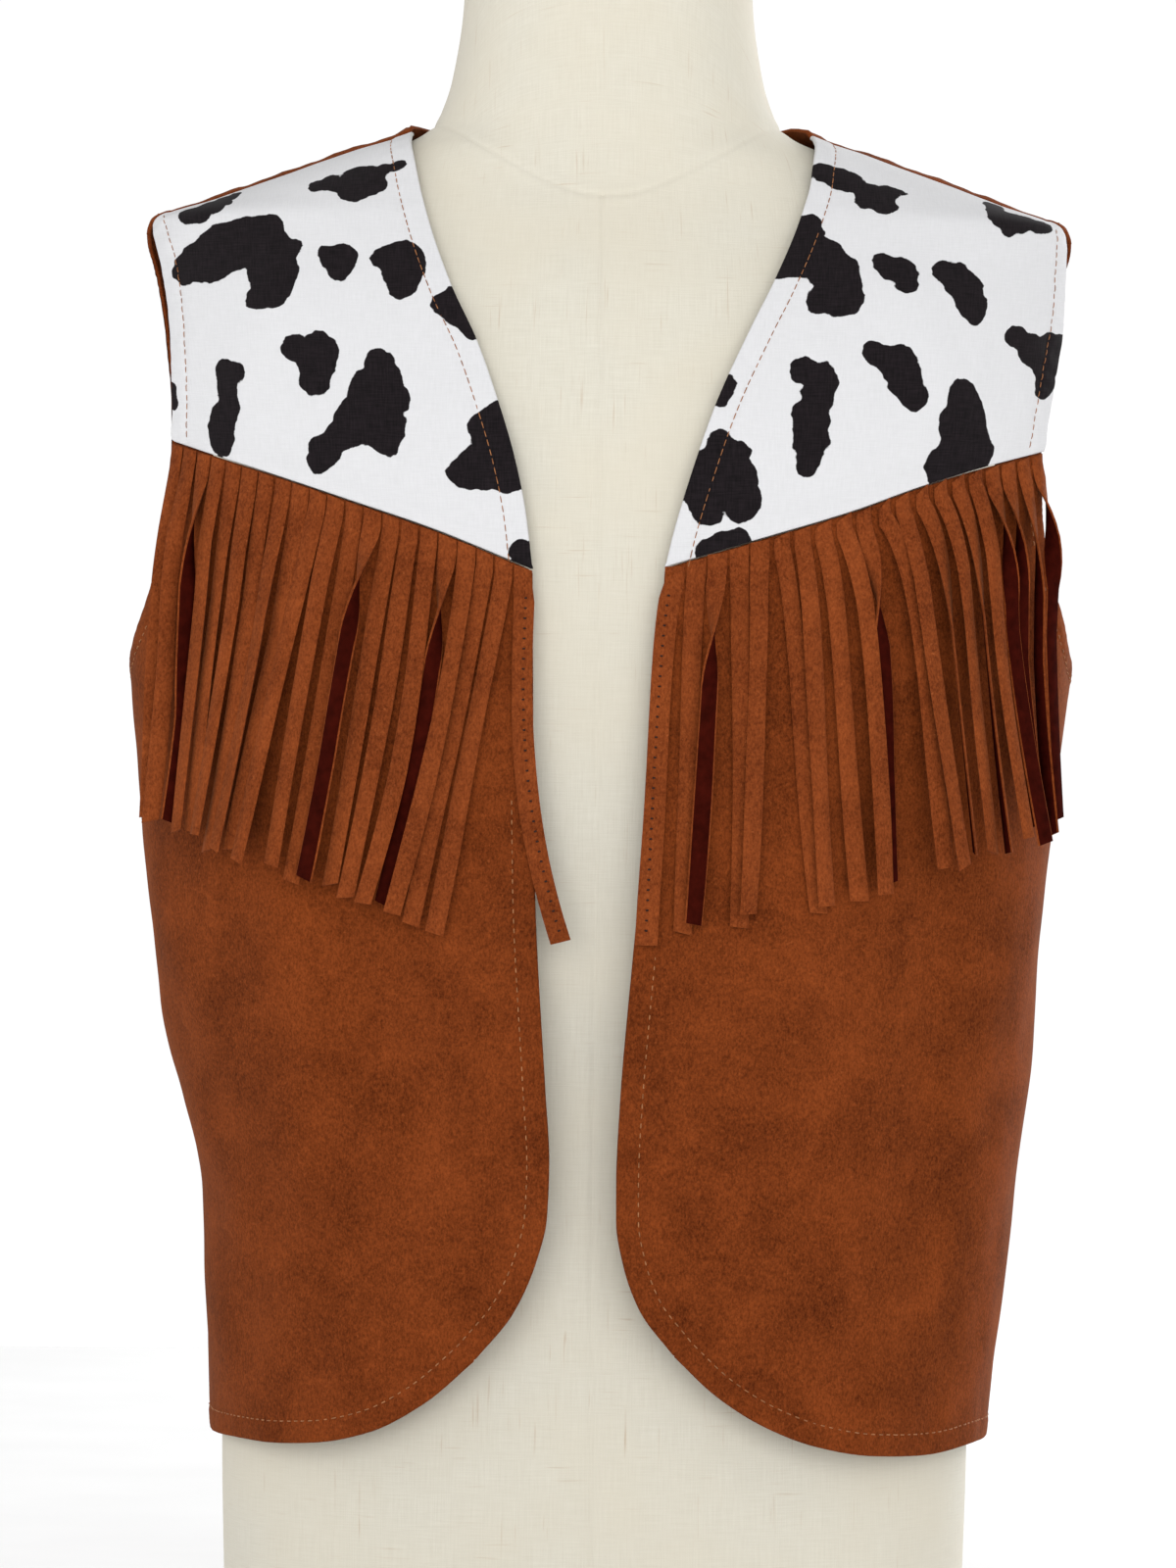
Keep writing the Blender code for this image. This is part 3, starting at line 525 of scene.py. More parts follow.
class Skin:
    """A smooth surface through level sections, each a rounded oblong."""

    def __init__(self, sections):
        table = np.array(sections, dtype=float)
        self.table = SmoothTable(table[:, 0], table[:, 1:])

    def section(self, points):
        right, left, front, back, squareness = self.table.at(points[:, 2]).T
        half_width = np.where(points[:, 0] < 0, right, left)
        half_depth = np.where(points[:, 1] < 0, front, back)
        return half_width, half_depth, squareness

    def excess(self, points):
        """Zero on the skin, positive outside it."""
        half_width, half_depth, squareness = self.section(points)
        across = (np.abs(points[:, 0]) / half_width) ** squareness
        deep = (np.abs(points[:, 1]) / half_depth) ** squareness
        return across + deep - 1.0

    def slope(self, points, step=0.05):
        moves = np.eye(3) * step
        rises = [self.excess(points + move) - self.excess(points - move) for move in moves]
        return np.stack(rises, axis=1) / (2 * step)

    def settle(self, points, rounds=8):
        """Slides points onto the skin the shortest way."""
        points = np.array(points, dtype=float)
        for _ in range(rounds):
            slope = self.slope(points)
            points -= (self.excess(points) / (slope ** 2).sum(axis=1))[:, None] * slope
        return points

    def outward(self, points):
        return unit(self.slope(points))

    def on_front(self, x, z):
        point = np.array([[x, -1.0, z]])
        half_width, half_depth, squareness = self.section(point)
        deep = max(0.0, 1 - (abs(x) / half_width[0]) ** squareness[0])
        return (x, -half_depth[0] * deep ** (1 / squareness[0]), z)

    def on_side(self, side, forward, z):
        point = np.array([[side, -forward, z]])
        half_width, half_depth, squareness = self.section(point)
        wide = max(0.0, 1 - (abs(forward) / half_depth[0]) ** squareness[0])
        return (side * half_width[0] * wide ** (1 / squareness[0]), -forward, z)

    def ring(self, angles, level):
        """Points round one level section, at the given angles from +X towards +Y."""
        points = np.stack([np.cos(angles), np.sin(angles), np.full(len(angles), level)], axis=1)
        half_width, half_depth, squareness = self.section(points)
        reach = (np.abs(points[:, 0]) / half_width) ** squareness
        reach += (np.abs(points[:, 1]) / half_depth) ** squareness
        points[:, :2] /= (reach ** (1 / squareness))[:, None]
        return points


VEST = Skin(VEST_SECTIONS)
FORM = Skin([(height, width, width, *rest) for height, width, *rest in FORM_SECTIONS])


def ridges(points, rows):
    """How far the listed ridges lift the cloth off the skin at each point."""
    lift = np.zeros(len(points))
    for facing, *ends, half_width, height in rows:
        start = np.array(ends[:2])
        run = np.array(ends[2:]) - start
        place = points[:, [0, 2]] - start
        along = place @ run / (run @ run)
        aside = (place[:, 0] * run[1] - place[:, 1] * run[0]) / np.linalg.norm(run)
        fade = np.clip(1 - (2 * along - 1) ** 2, 0, 1)
        ridge = np.exp(-(aside / half_width) ** 2) * fade
        lift += np.where(points[:, 1] * facing > 0, ridge * height, 0.0)
    return lift


def swell(points):
    return ridges(points, FOLDS)


def ripple(points):
    """Faint unevenness of the whole cloth, from waves of several lengths and headings."""
    chance = np.random.default_rng(RIPPLE_SEED)
    lift = np.zeros(len(points))
    for length, height in RIPPLES:
        heading = chance.normal(size=3)
        heading /= np.linalg.norm(heading)
        phase = chance.uniform(0, 2 * np.pi)
        lift += height * np.sin(points @ heading * 2 * np.pi / length + phase)
    return lift


def drape(points):
    """The whole lift of the worn cloth off the skin."""
    free = np.clip((RESTING_LEVEL - points[:, 2]) / RESTING_FADE, RESTING_SHARE, 1.0)
    return swell(points) + ridges(points, CREASES) + ripple(points) * free


def even_curve(points, count):
    """A smooth curve through points, cut into equal steps, with count points in all."""
    points = np.asarray(points, dtype=float)
    lengths = lengths_along(points)
    fine = SmoothTable(lengths, points).at(np.linspace(0, lengths[-1], CURVE_SAMPLES))
    travelled = lengths_along(fine)
    return read_at(np.linspace(0, travelled[-1], count), travelled, fine)


def edge(points, cells):
    return even_curve(points, cells * EDGE_POINTS + 1)


def joined(*curves):
    """One curve from several that meet end to end."""
    return np.concatenate([curves[0]] + [curve[1:] for curve in curves[1:]])


def picked(curve, places):
    """Points of a finely cut edge at the given shares of its length."""
    return read_at(places * (len(curve) - 1), np.arange(len(curve)), curve)


def patch(top, bottom, left, right, across, down):
    """A grid of points between four edges: rows from top to bottom, columns from left to right."""
    top, bottom = picked(top, across), picked(bottom, across)
    left, right = picked(left, down), picked(right, down)
    across = across[None, :, None]
    down = down[:, None, None]
    between_rows = (1 - down) * top[None] + down * bottom[None]
    between_columns = (1 - across) * left[:, None] + across * right[:, None]
    upper = (1 - across) * top[0] + across * top[-1]
    lower = (1 - across) * bottom[0] + across * bottom[-1]
    return between_rows + between_columns - (1 - down) * upper - down * lower


def relaxed(grid, rounds=120):
    """Spreads a grid's inner points evenly over the skin between its fixed edges."""
    grid = grid.copy()
    for _ in range(rounds):
        inner = (grid[:-2, 1:-1] + grid[2:, 1:-1] + grid[1:-1, :-2] + grid[1:-1, 2:]) / 4
        grid[1:-1, 1:-1] = VEST.settle(inner.reshape(-1, 3), 1).reshape(inner.shape)
    return grid


def cubic_weights(count, places):
    """A matrix that reads count even samples smoothly at the given shares of their length."""
    weights = np.zeros((len(places), count))
    stops = places * (count - 1)
    first = np.clip(np.floor(stops).astype(int), 0, count - 2)
    share = stops - first
    square, cube = share ** 2, share ** 3
    parts = ((-share + 2 * square - cube) / 2, (2 - 5 * square + 3 * cube) / 2,
             (share + 4 * square - 3 * cube) / 2, (-square + cube) / 2)
    for offset, part in zip((-1, 0, 1, 2), parts):
        np.add.at(weights, (np.arange(len(places)), np.clip(first + offset, 0, count - 1)), part)
    return weights


def crowded(count, crowding=0.6):
    """Shares from 0 to 1, closer together near both ends."""
    even = np.linspace(0, 1, count)
    return even - crowding * np.sin(2 * np.pi * even) / (2 * np.pi)


def fine_grid(top, bottom, left, right, size):
    """A fine grid on the skin between four edges, spread as evenly as the coarse one."""
    columns, rows = size
    coarse_across = np.linspace(0, 1, (len(top) - 1) // EDGE_POINTS + 1)
    coarse_down = np.linspace(0, 1, (len(left) - 1) // EDGE_POINTS + 1)
    coarse = patch(top, bottom, left, right, coarse_across, coarse_down)
    shift = relaxed(coarse) - coarse
    across, down = crowded(columns), crowded(rows)
    down_weights = cubic_weights(len(coarse_down), down)
    across_weights = cubic_weights(len(coarse_across), across)
    spread = np.einsum("ri,ijk,cj->rck", down_weights, shift, across_weights)
    grid = patch(top, bottom, left, right, across, down) + spread
    return VEST.settle(grid.reshape(-1, 3)).reshape(grid.shape)


def draw_in(grid, outward, distances):
    """Moves every edge of a grid back into the piece by its distance."""
    lines = {"top": (0, 1, 3), "bottom": (-1, -2, -4), "left": (0, 1, 3), "right": (-1, -2, -4)}
    moves = {}
    for name, distance in distances.items():
        rim, _, inner = lines[name]
        view = grid if name in ("top", "bottom") else grid.transpose(1, 0, 2)
        normal = outward if name in ("top", "bottom") else outward.transpose(1, 0, 2)
        along = np.gradient(view[rim], axis=0)
        inward = unit(np.cross(normal[rim], along))
        facing = np.sign(((view[inner] - view[rim]) * inward).sum())
        moves[name] = inward * facing * distance
    # Where an edge runs on smoothly round a corner, the corner moves once, and not once for each side.
    for level, across in (("top", "left"), ("top", "right"), ("bottom", "left"), ("bottom", "right")):
        end = 0 if across == "left" else -1
        side_end = 0 if level == "top" else -1
        first, second = moves[level][end], moves[across][side_end]
        alike = first @ second / (np.linalg.norm(first) * np.linalg.norm(second))
        if alike > SMOOTH_CORNER:
            moves[level][end] = (first + second) / 2
            moves[across][side_end] = 0.0
    for name, move in moves.items():
        rim, near, inner = lines[name]
        view = grid if name in ("top", "bottom") else grid.transpose(1, 0, 2)
        view[rim] += move
        view[near] += move * NEAR_SHARE


def nearest_on(curve, points):
    """Each point's distance to a finely cut curve, and how far along it the nearest place is."""
    curve = curve[::SEARCH_STEP]
    travelled = lengths_along(curve)
    distance = np.empty(len(points))
    place = np.empty(len(points))
    for start in range(0, len(points), SEARCH_BATCH):
        part = points[start:start + SEARCH_BATCH]
        apart = np.linalg.norm(part[:, None] - curve[None], axis=2)
        index = apart.argmin(axis=1)
        distance[start:start + SEARCH_BATCH] = apart[np.arange(len(part)), index]
        place[start:start + SEARCH_BATCH] = travelled[index]
    return distance, place


def turned(distance):
    """One on the turned margin of an edge, zero past its topstitching."""
    return 1 / (1 + np.exp((distance - HEM_MARGIN) / TURN_FADE))


def sunk(distance):
    """One at the line of topstitching, which pulls the cloth down."""
    return np.exp(-((distance - HEM_MARGIN) / STITCH_DIP_WIDTH) ** 2)


def outer_height(distance):
    return CLOTH / 2 + HEM_SWELL * turned(distance) - STITCH_DIP * sunk(distance)


def edge_ripple(distance, place, wave):
    """Short puckers beside the topstitching and, on free hems, a long slow wave."""
    pucker = PUCKER_HEIGHT * np.sin(place * PUCKER_RATE + waves(place, PUCKER_WANDER))
    pucker *= np.exp(-((distance - PUCKER_MIDDLE) / PUCKER_WIDTH) ** 2)
    return pucker + wave * waves(place, HEM_WAVES) * np.exp(-distance / HEM_WAVE_REACH)


def point_attribute(mesh, name, values):
    kind = "FLOAT" if values.ndim == 1 else "FLOAT_VECTOR"
    layer = mesh.attributes.new(name, kind, "POINT")
    layer.data.foreach_set("value" if values.ndim == 1 else "vector", values.astype(np.float32).ravel())


def mesh_object(name, points, faces, materials, sharp=60, marks=None):
    mesh = bpy.data.meshes.new(name)
    mesh.from_pydata((np.asarray(points) * METRES).tolist(), [], faces)
    for material in materials:
        mesh.materials.append(material)
    if marks is not None:
        mesh.polygons.foreach_set("material_index", marks)
    body = bmesh.new()
    body.from_mesh(mesh)
    bmesh.ops.recalc_face_normals(body, faces=body.faces)
    body.to_mesh(mesh)
    body.free()
    mesh.shade_smooth()
    mesh.set_sharp_from_angle(angle=np.radians(sharp))
    built = bpy.data.objects.new(name, mesh)
    bpy.context.collection.objects.link(built)
    return built


def grid_faces(rows, columns, closed=False):
    """Four-cornered faces of a grid of points, which closes round into a tube where asked."""
    row = np.arange(rows - 1)[:, None] * columns
    column = np.arange(columns if closed else columns - 1)[None]
    near = row + column
    far = row + (column + 1) % columns
    return np.stack([near, far, far + columns, near + columns], axis=2).reshape(-1, 4)


def rim_order(rows, columns):
    """The points of a grid's rim, once round."""
    top = np.arange(columns)
    right = np.arange(1, rows) * columns + columns - 1
    bottom = (rows - 1) * columns + np.arange(columns - 2, -1, -1)
    left = np.arange(rows - 2, 0, -1) * columns
    return np.concatenate([top, right, bottom, left])


def flat_places(grid):
    """Where each point of a grid lies on the flat cloth, measured from its first column and last row."""
    run = np.linalg.norm(np.diff(grid, axis=1), axis=2)
    across = np.concatenate([np.zeros((len(grid), 1)), np.cumsum(run, axis=1)], axis=1)
    heading = np.sign((grid[:, -1, 0] - grid[:, 0, 0]).sum())
    raised = lengths_rows(grid[::-1])[::-1]
    across = grid[:, 0, 0][:, None] + heading * across
    raised = grid[-1, :, 2][None] + raised
    return np.stack([across, raised, np.zeros(grid.shape[:2])], axis=2).reshape(-1, 3)


def lengths_rows(grid):
    """How far along its own column each point of a grid lies."""
    steps = np.linalg.norm(np.diff(grid, axis=0), axis=2)
    return np.concatenate([np.zeros((1, grid.shape[1])), np.cumsum(steps, axis=0)])


class Piece:
    """One cut piece of cloth between four edges, built as a closed shell with rounded rims."""

    def __init__(self, top, bottom, left, right, size, seams, free, run_on=None, wave=0.0, lip=0.0,
                 bulk=()):
        self.edges = {"top": top, "bottom": bottom, "left": left, "right": right}
        grid = fine_grid(top, bottom, left, right, size)
        self.rows, self.columns = grid.shape[:2]
        flat = grid.reshape(-1, 3)
        outward = VEST.outward(flat)
        gaps = {name: CLOTH / 2 + (SEAM_GAP / 2 if name in seams else 0.0) for name in self.edges}
        draw_in(grid, outward.reshape(grid.shape), gaps)
        flat = grid.reshape(-1, 3)
        self.centre = flat.mean(axis=0)
        self.free = free
        # How far past the end of each free edge its stitching runs, up to the seam there.
        self.run_on = run_on or [0.0] * len(free)
        self.lip = lip
        self.bulk = bulk
        self.wave = wave
        lift = drape(flat)
        low_distance = np.full(len(flat), FAR_AWAY)
        for curve in free:
            distance, place = nearest_on(curve, flat)
            lift += edge_ripple(distance, place, wave)
            low_distance = np.minimum(low_distance, distance)
        lift += self.raised(flat)
        for name in seams:
            apart, _ = nearest_on(self.edges[name], flat)
            lift -= SEAM_DIP * np.exp(-(apart / SEAM_DIP_WIDTH) ** 2)
        self.flat = flat
        self.outward = outward
        self.middle = flat + outward * lift[:, None]
        self.outer = outer_height(low_distance)
        self.inner = CLOTH / 2 + INNER_SWELL * turned(low_distance)
        self.cloth = flat_places(grid)
        self.rim = rim_order(self.rows, self.columns)

    def raised(self, points):
        """Lift near the lower lip, which covers the fringe's roots, and over the shoulder seam's bulk."""
        apart, _ = nearest_on(self.edges["bottom"], points)
        lift = self.lip * np.exp(-(apart / LIP_REACH) ** 2)
        for curve in self.bulk:
            apart, place = nearest_on(curve, points)
            lumps = 1 + waves(place, BULK_LUMPS)
            lumps *= np.clip((BULK_END - np.abs(points[:, 0])) / BULK_FADE, 0, 1)
            lift += SEAM_BULK * lumps * np.exp(-((apart - BULK_MIDDLE) / BULK_WIDTH) ** 2)
        return lift

    def spread(self, values):
        """Values of the grid's points, repeated for both faces of the shell and the rings of its rim."""
        return np.concatenate([values, values] + [values[self.rim]] * len(RIM_TURNS))

    def build(self, name, material):
        high = self.middle + self.outward * self.outer[:, None]
        low = self.middle - self.outward * self.inner[:, None]
        inside = self.rows * self.columns
        quads = grid_faces(self.rows, self.columns)
        faces = np.concatenate([quads, quads[:, ::-1] + inside]).tolist()
        rim = self.rim
        middle, outward = self.middle[rim], self.outward[rim]
        away = unit(np.cross(np.roll(middle, -1, axis=0) - np.roll(middle, 1, axis=0), outward))
        towards_centre = ((self.centre - middle) * away).sum()
        away *= -np.sign(towards_centre)
        points = [high, low]
        rings = [rim]
        for turn in RIM_TURNS:
            height = np.where(np.sin(turn) > 0, self.outer[rim], self.inner[rim]) * np.sin(turn)
            points.append(middle + away * (CLOTH / 2 * np.cos(turn)) + outward * height[:, None])
            rings.append(2 * inside + (len(rings) - 1) * len(rim) + np.arange(len(rim)))
        rings.append(rim + inside)
        for upper, lower in zip(rings, rings[1:]):
            faces += np.stack([upper, lower, np.roll(lower, -1), np.roll(upper, -1)], axis=1).tolist()
        piece = mesh_object(name, np.concatenate(points), faces, [material])
        point_attribute(piece.data, "cloth", self.spread(self.cloth))
        return piece

    def stitches(self, stitch, covered=None):
        """Start, end, up direction and radius of every topstitch along the free edges."""
        length, radius = stitch
        rows = []
        for whole, run_on in zip(self.free, self.run_on):
            curve = whole[::LINE_STEP]
            inward = unit(np.cross(VEST.outward(curve), np.gradient(curve, axis=0)))
            inward *= np.sign(((self.centre - curve) * inward).sum())
            line = VEST.settle(curve + inward * HEM_MARGIN)
            line = np.concatenate([line, line[-1:] + unit(line[-1:] - line[-2:-1]) * run_on])
            travelled = lengths_along(line)
            stops = np.arange(FIRST_STITCH, travelled[-1] - STITCH_PITCH, STITCH_PITCH)
            start = read_at(stops, travelled, line)
            end = read_at(stops + length, travelled, line)
            at = VEST.settle((start + end) / 2)
            distance, edge_place = nearest_on(whole, at)
            up = VEST.outward(at)
            lift = drape(at) + edge_ripple(distance, edge_place, self.wave) + outer_height(distance)
            lift = (lift + self.raised(at))[:, None]
            shown = np.ones(len(at), dtype=bool)
            if covered is not None:
                at_edge = np.abs(at[:, 0]) < MIDDLE_STRIP
                shown = at[:, 2] < np.where(at_edge, covered, COVERED_ARMHOLE)
            row = (start + up * lift, end + up * lift, up, np.full(len(at), radius))
            rows.append([part[shown] for part in row])
        return [np.concatenate(part) for part in zip(*rows)]


def build_stitches(name, rows, material):
    """Short sunk lengths of thread, joined in one piece."""
    starts, ends, up, radius = (np.concatenate(part) for part in zip(*rows))
    radius = radius[:, None]
    along = ends - starts
    aside = unit(np.cross(along, up))
    turns = np.arange(STITCH_SIDES) * 2 * np.pi / STITCH_SIDES
    rings = []
    for share, height, thick in STITCH_STEPS:
        centre = starts + along * share + up * height
        for turn in turns:
            place = aside * np.cos(turn) + up * np.sin(turn) * STITCH_FLATNESS
            rings.append(centre + place * radius * thick)
    points = np.stack(rings, axis=1).reshape(-1, 3)
    each = len(STITCH_STEPS) * STITCH_SIDES
    pattern = grid_faces(len(STITCH_STEPS), STITCH_SIDES, closed=True).tolist()
    pattern.append(list(range(STITCH_SIDES)))
    pattern.append(list(range(each - STITCH_SIDES, each)))
    faces = []
    for first in range(0, len(points), each):
        faces += [[first + index for index in face] for face in pattern]
    return mesh_object(name, points, faces, [material], sharp=80)


def neck_point(side):
    across, forward, height = NECK_POINT[side]
    return (side * across, -forward, height)


def shoulder_tip(side):
    across, forward, height = SHOULDER_TIP[side]
    return (side * across, -forward, height)


def shoulder_seam(side):
    """From the neck point out to the shoulder tip."""
    ends = np.array([neck_point(side), shoulder_tip(side)])
    share = np.linspace(0, 1, YOKE_COLUMNS * EDGE_POINTS + 1)[:, None]
    return VEST.settle(ends[0] * (1 - share) + ends[1] * share)


def yoke_seam(side):
    """From the front edge out to the armhole."""
    return VEST.settle(edge([VEST.on_front(side * x, z) for x, z in YOKE_SEAM[side]], YOKE_COLUMNS))


def seam_end(side, index):
    """Where the yoke seam meets the front edge, its first point, or the armhole, its last."""
    x, z = YOKE_SEAM[side][index]
    return VEST.on_front(side * x, z)


def neck_edge(side):
    line = [neck_point(side)]
    line += [VEST.on_front(side * x, z) for x, z in NECK_EDGE[side]]
    line.append(seam_end(side, 0))
    return VEST.settle(edge(line, YOKE_ROWS))


def armhole_front(side):
    line = [shoulder_tip(side)]
    line += [VEST.on_side(side, forward, z) for forward, z in ARMHOLE_FRONT[side]]
    line.append(seam_end(side, -1))
    return VEST.settle(edge(line, YOKE_ROWS))


def armhole_under(side):
    line = [seam_end(side, -1)]
    line += [VEST.on_side(side, forward, z) for forward, z in ARMHOLE_UNDER]
    line.append(VEST.on_side(side, 0.0, UNDERARM))
    return VEST.settle(edge(line, UNDER_ROWS))


def armhole_back(side):
    """From the shoulder tip down to the underarm."""
    line = [shoulder_tip(side)]
    line += [VEST.on_side(side, forward, z) for forward, z in ARMHOLE_BACK]
    line.append(VEST.on_side(side, 0.0, UNDERARM))
    return VEST.settle(edge(line, YOKE_ROWS))


def side_seam(side):
    """From the underarm down to the hem."""
    return edge([VEST.on_side(side, 0.0, z) for z in np.linspace(UNDERARM, HEM, SIDE_SAMPLES)], SIDE_ROWS)


def yoke_piece(side):
    neck, arm = neck_edge(side), armhole_front(side)
    return Piece(shoulder_seam(side), yoke_seam(side), neck, arm, YOKE_MESH, ("top", "bottom"), [neck, arm],
                 run_on=[0.0, YOKE_RUN_ON], lip=YOKE_LIP)


def front_piece(side):
    left = edge([VEST.on_front(side * x, z) for x, z in FRONT_EDGE[side]], UNDER_ROWS + SIDE_ROWS)
    hem = [VEST.on_front(side * x, z) for x, z in FRONT_HEM[side]]
    hem.append(VEST.on_side(side, 0.0, HEM))
    bottom = edge(hem, YOKE_COLUMNS)
    under = armhole_under(side)
    right = joined(under, side_seam(side))
    free = [joined(left, bottom), under]
    return Piece(yoke_seam(side), bottom, left, right, FRONT_MESH, ("top", "right"), free,
                 wave=HEM_WAVE)


def back_neck():
    """From the right neck point round the back to the left one."""
    right = [neck_point(RIGHT)] + [(-x, y, z) for x, y, z in BACK_NECK]
    left = [(x, y, z) for x, y, z in reversed(BACK_NECK[:-1])] + [neck_point(LEFT)]
    return VEST.settle(edge(right + left, NECK_COLUMNS))


def back_piece():
    neck = back_neck()
    top = joined(shoulder_seam(RIGHT)[::-1], neck, shoulder_seam(LEFT))
    arms = {side: armhole_back(side) for side in (RIGHT, LEFT)}
    edges = {side: joined(arms[side], side_seam(side)) for side in (RIGHT, LEFT)}
    hem = VEST.ring(np.radians(np.linspace(180, 0, HEM_SAMPLES)), HEM)
    bottom = edge(hem, 2 * YOKE_COLUMNS + NECK_COLUMNS)
    free = [neck, arms[RIGHT], arms[LEFT], bottom]
    shoulders = (shoulder_seam(RIGHT), shoulder_seam(LEFT))
    return Piece(top, bottom, edges[RIGHT], edges[LEFT], BACK_MESH, ("top", "left", "right"), free,
                 wave=HEM_WAVE, bulk=shoulders)


def from_picture(across, down):
    """The point of the vest's front that shows at a pixel of the picture."""
    depth = FIRST_DEPTH
    for _ in range(DEPTH_ROUNDS):
        scale = MM_PER_PIXEL * (CAMERA_DISTANCE + depth) / CAMERA_DISTANCE
        x = (across - (MIDLINE_TOP - MIDLINE_LEAN * down)) * scale
        z = CAMERA_HEIGHT + (PICTURE_HIGH / 2 - down) * scale
        depth = (depth + VEST.on_front(x, z)[1]) / 2
    return np.array([x, depth, z])


def spot_distance(piece, side):
    """How far each point of the flat cloth lies outside the nearest spot, negative inside it."""
    cloth = piece.cloth[:, :2]
    nearest = np.full(len(cloth), FAR_AWAY)
    for spot in SPOTS[side]:
        total = np.zeros(len(cloth))
        for across, down, radius in spot:
            seen = from_picture(across, down)
            index = np.linalg.norm(piece.flat - seen, axis=1).argmin()
            apart = np.linalg.norm(cloth - cloth[index], axis=1) - radius * MM_PER_PIXEL
            total += np.exp(-np.clip(apart, -SPOT_REACH, SPOT_REACH) / SPOT_BLEND)
        nearest = np.minimum(nearest, -SPOT_BLEND * np.log(total))
    return nearest - SPOT_GROWTH


def strand_path(root, drift, stand_off, turn, bow, kick, steps):
    """Centres and directions of one strand: it hangs from its root, lies on the cloth and turns."""
    left_root, right_root = root
    start = (left_root + right_root) / 2
    share = steps / STRAND_LENGTH
    drop = np.sqrt(1 - (drift / STRAND_LENGTH) ** 2)
    power = LATE_DRIFT_POWER if drift > 0 and left_root[0] < 0 else DRIFT_POWER
    shift = (1 - kick) * share ** power + kick * (1 - np.exp(-steps / KICK_LENGTH))
    sideways = drift * shift + bow * np.sin(np.pi * share)
    hang = np.stack([sideways, -FORWARD_LEAN * steps, -steps * drop], axis=1)
    angle = np.radians(turn) * np.clip((steps - TURN_START) / TURN_LENGTH, 0, 1)
    foot = VEST.settle(start + hang)
    outward = VEST.outward(foot)
    apart = stand_off * np.clip(steps / LIFT_LENGTH, 0, 1)
    # A strand that has turned over stays lifted where it turned and sinks back slowly.
    edgewise = np.abs(np.sin(angle))
    sinking = 1 - SINK_SHARE * np.clip((steps - SINK_START) / SINK_LENGTH, 0, 1)
    raised = np.maximum(np.maximum.accumulate(edgewise) * sinking, edgewise)
    clear = FRINGE_LIFT + swell(foot) + apart + STRAND_WIDTH / 2 * raised
    free = ((start + hang - foot) * outward).sum(axis=1) + apart
    path = foot + outward * np.maximum(free, clear)[:, None]
    along = unit(np.gradient(np.concatenate([start[None], path]), axis=0)[1:])
    across = unit(np.cross(along, outward))
    across *= np.sign(across @ (right_root - left_root))[:, None]
    face = np.cross(across, along)
    face *= np.sign((face * outward).sum(axis=1))[:, None]
    flat_share, edge_share = np.cos(angle)[:, None], np.sin(angle)[:, None]
    wide = across * flat_share + face * edge_share
    thick = face * flat_share - across * edge_share
    seam_rise = (right_root - left_root)[2] / np.linalg.norm(right_root - left_root)
    slant = along * (-seam_rise * np.exp(-steps / SLANT_LENGTH))[:, None]
    return path, wide + slant, thick, along


def strand_roots(side, count):
    """The two root corners of each strand, as the solids have them."""
    seam = yoke_seam(side)
    travelled = lengths_along(seam)
    pitch = travelled[-1] / count
    gap = pitch - STRAND_WIDTH
    stops = []
    for index in range(count):
        stops += [index * pitch + gap / 2, (index + 1) * pitch - gap / 2]
    top = VEST.settle(read_at(stops, travelled, seam) - np.array([0, 0, SEAM_GAP]))
    bottom = VEST.settle(top - np.array([0, 0, STRIP_HEIGHT]))
    return bottom + VEST.outward(bottom) * (FRINGE_LIFT + swell(bottom))[:, None]


def needle_hole_shade(line, along, thick):
    """Start, end, up direction and radius of the marks of painted shade that stand for the needle holes
    along a strand's edge.
    """
    travelled = lengths_along(line)
    stops = np.arange(FIRST_NEEDLE, travelled[-1] - LAST_NEEDLE, NEEDLE_PITCH)
    at = read_at(stops, travelled, line + thick * (STRAND_CLOTH / 2 + HOLE_RISE))
    reach = read_at(stops, travelled, along) * HOLE_REACH
    up = read_at(stops, travelled, thick)
    return at - reach, at + reach, up, np.full(len(at), HOLE_RADIUS)


def chance_wave(chance, share, rates):
    return np.sin(share * chance.uniform(*rates) + chance.uniform(*WAVE_STARTS))


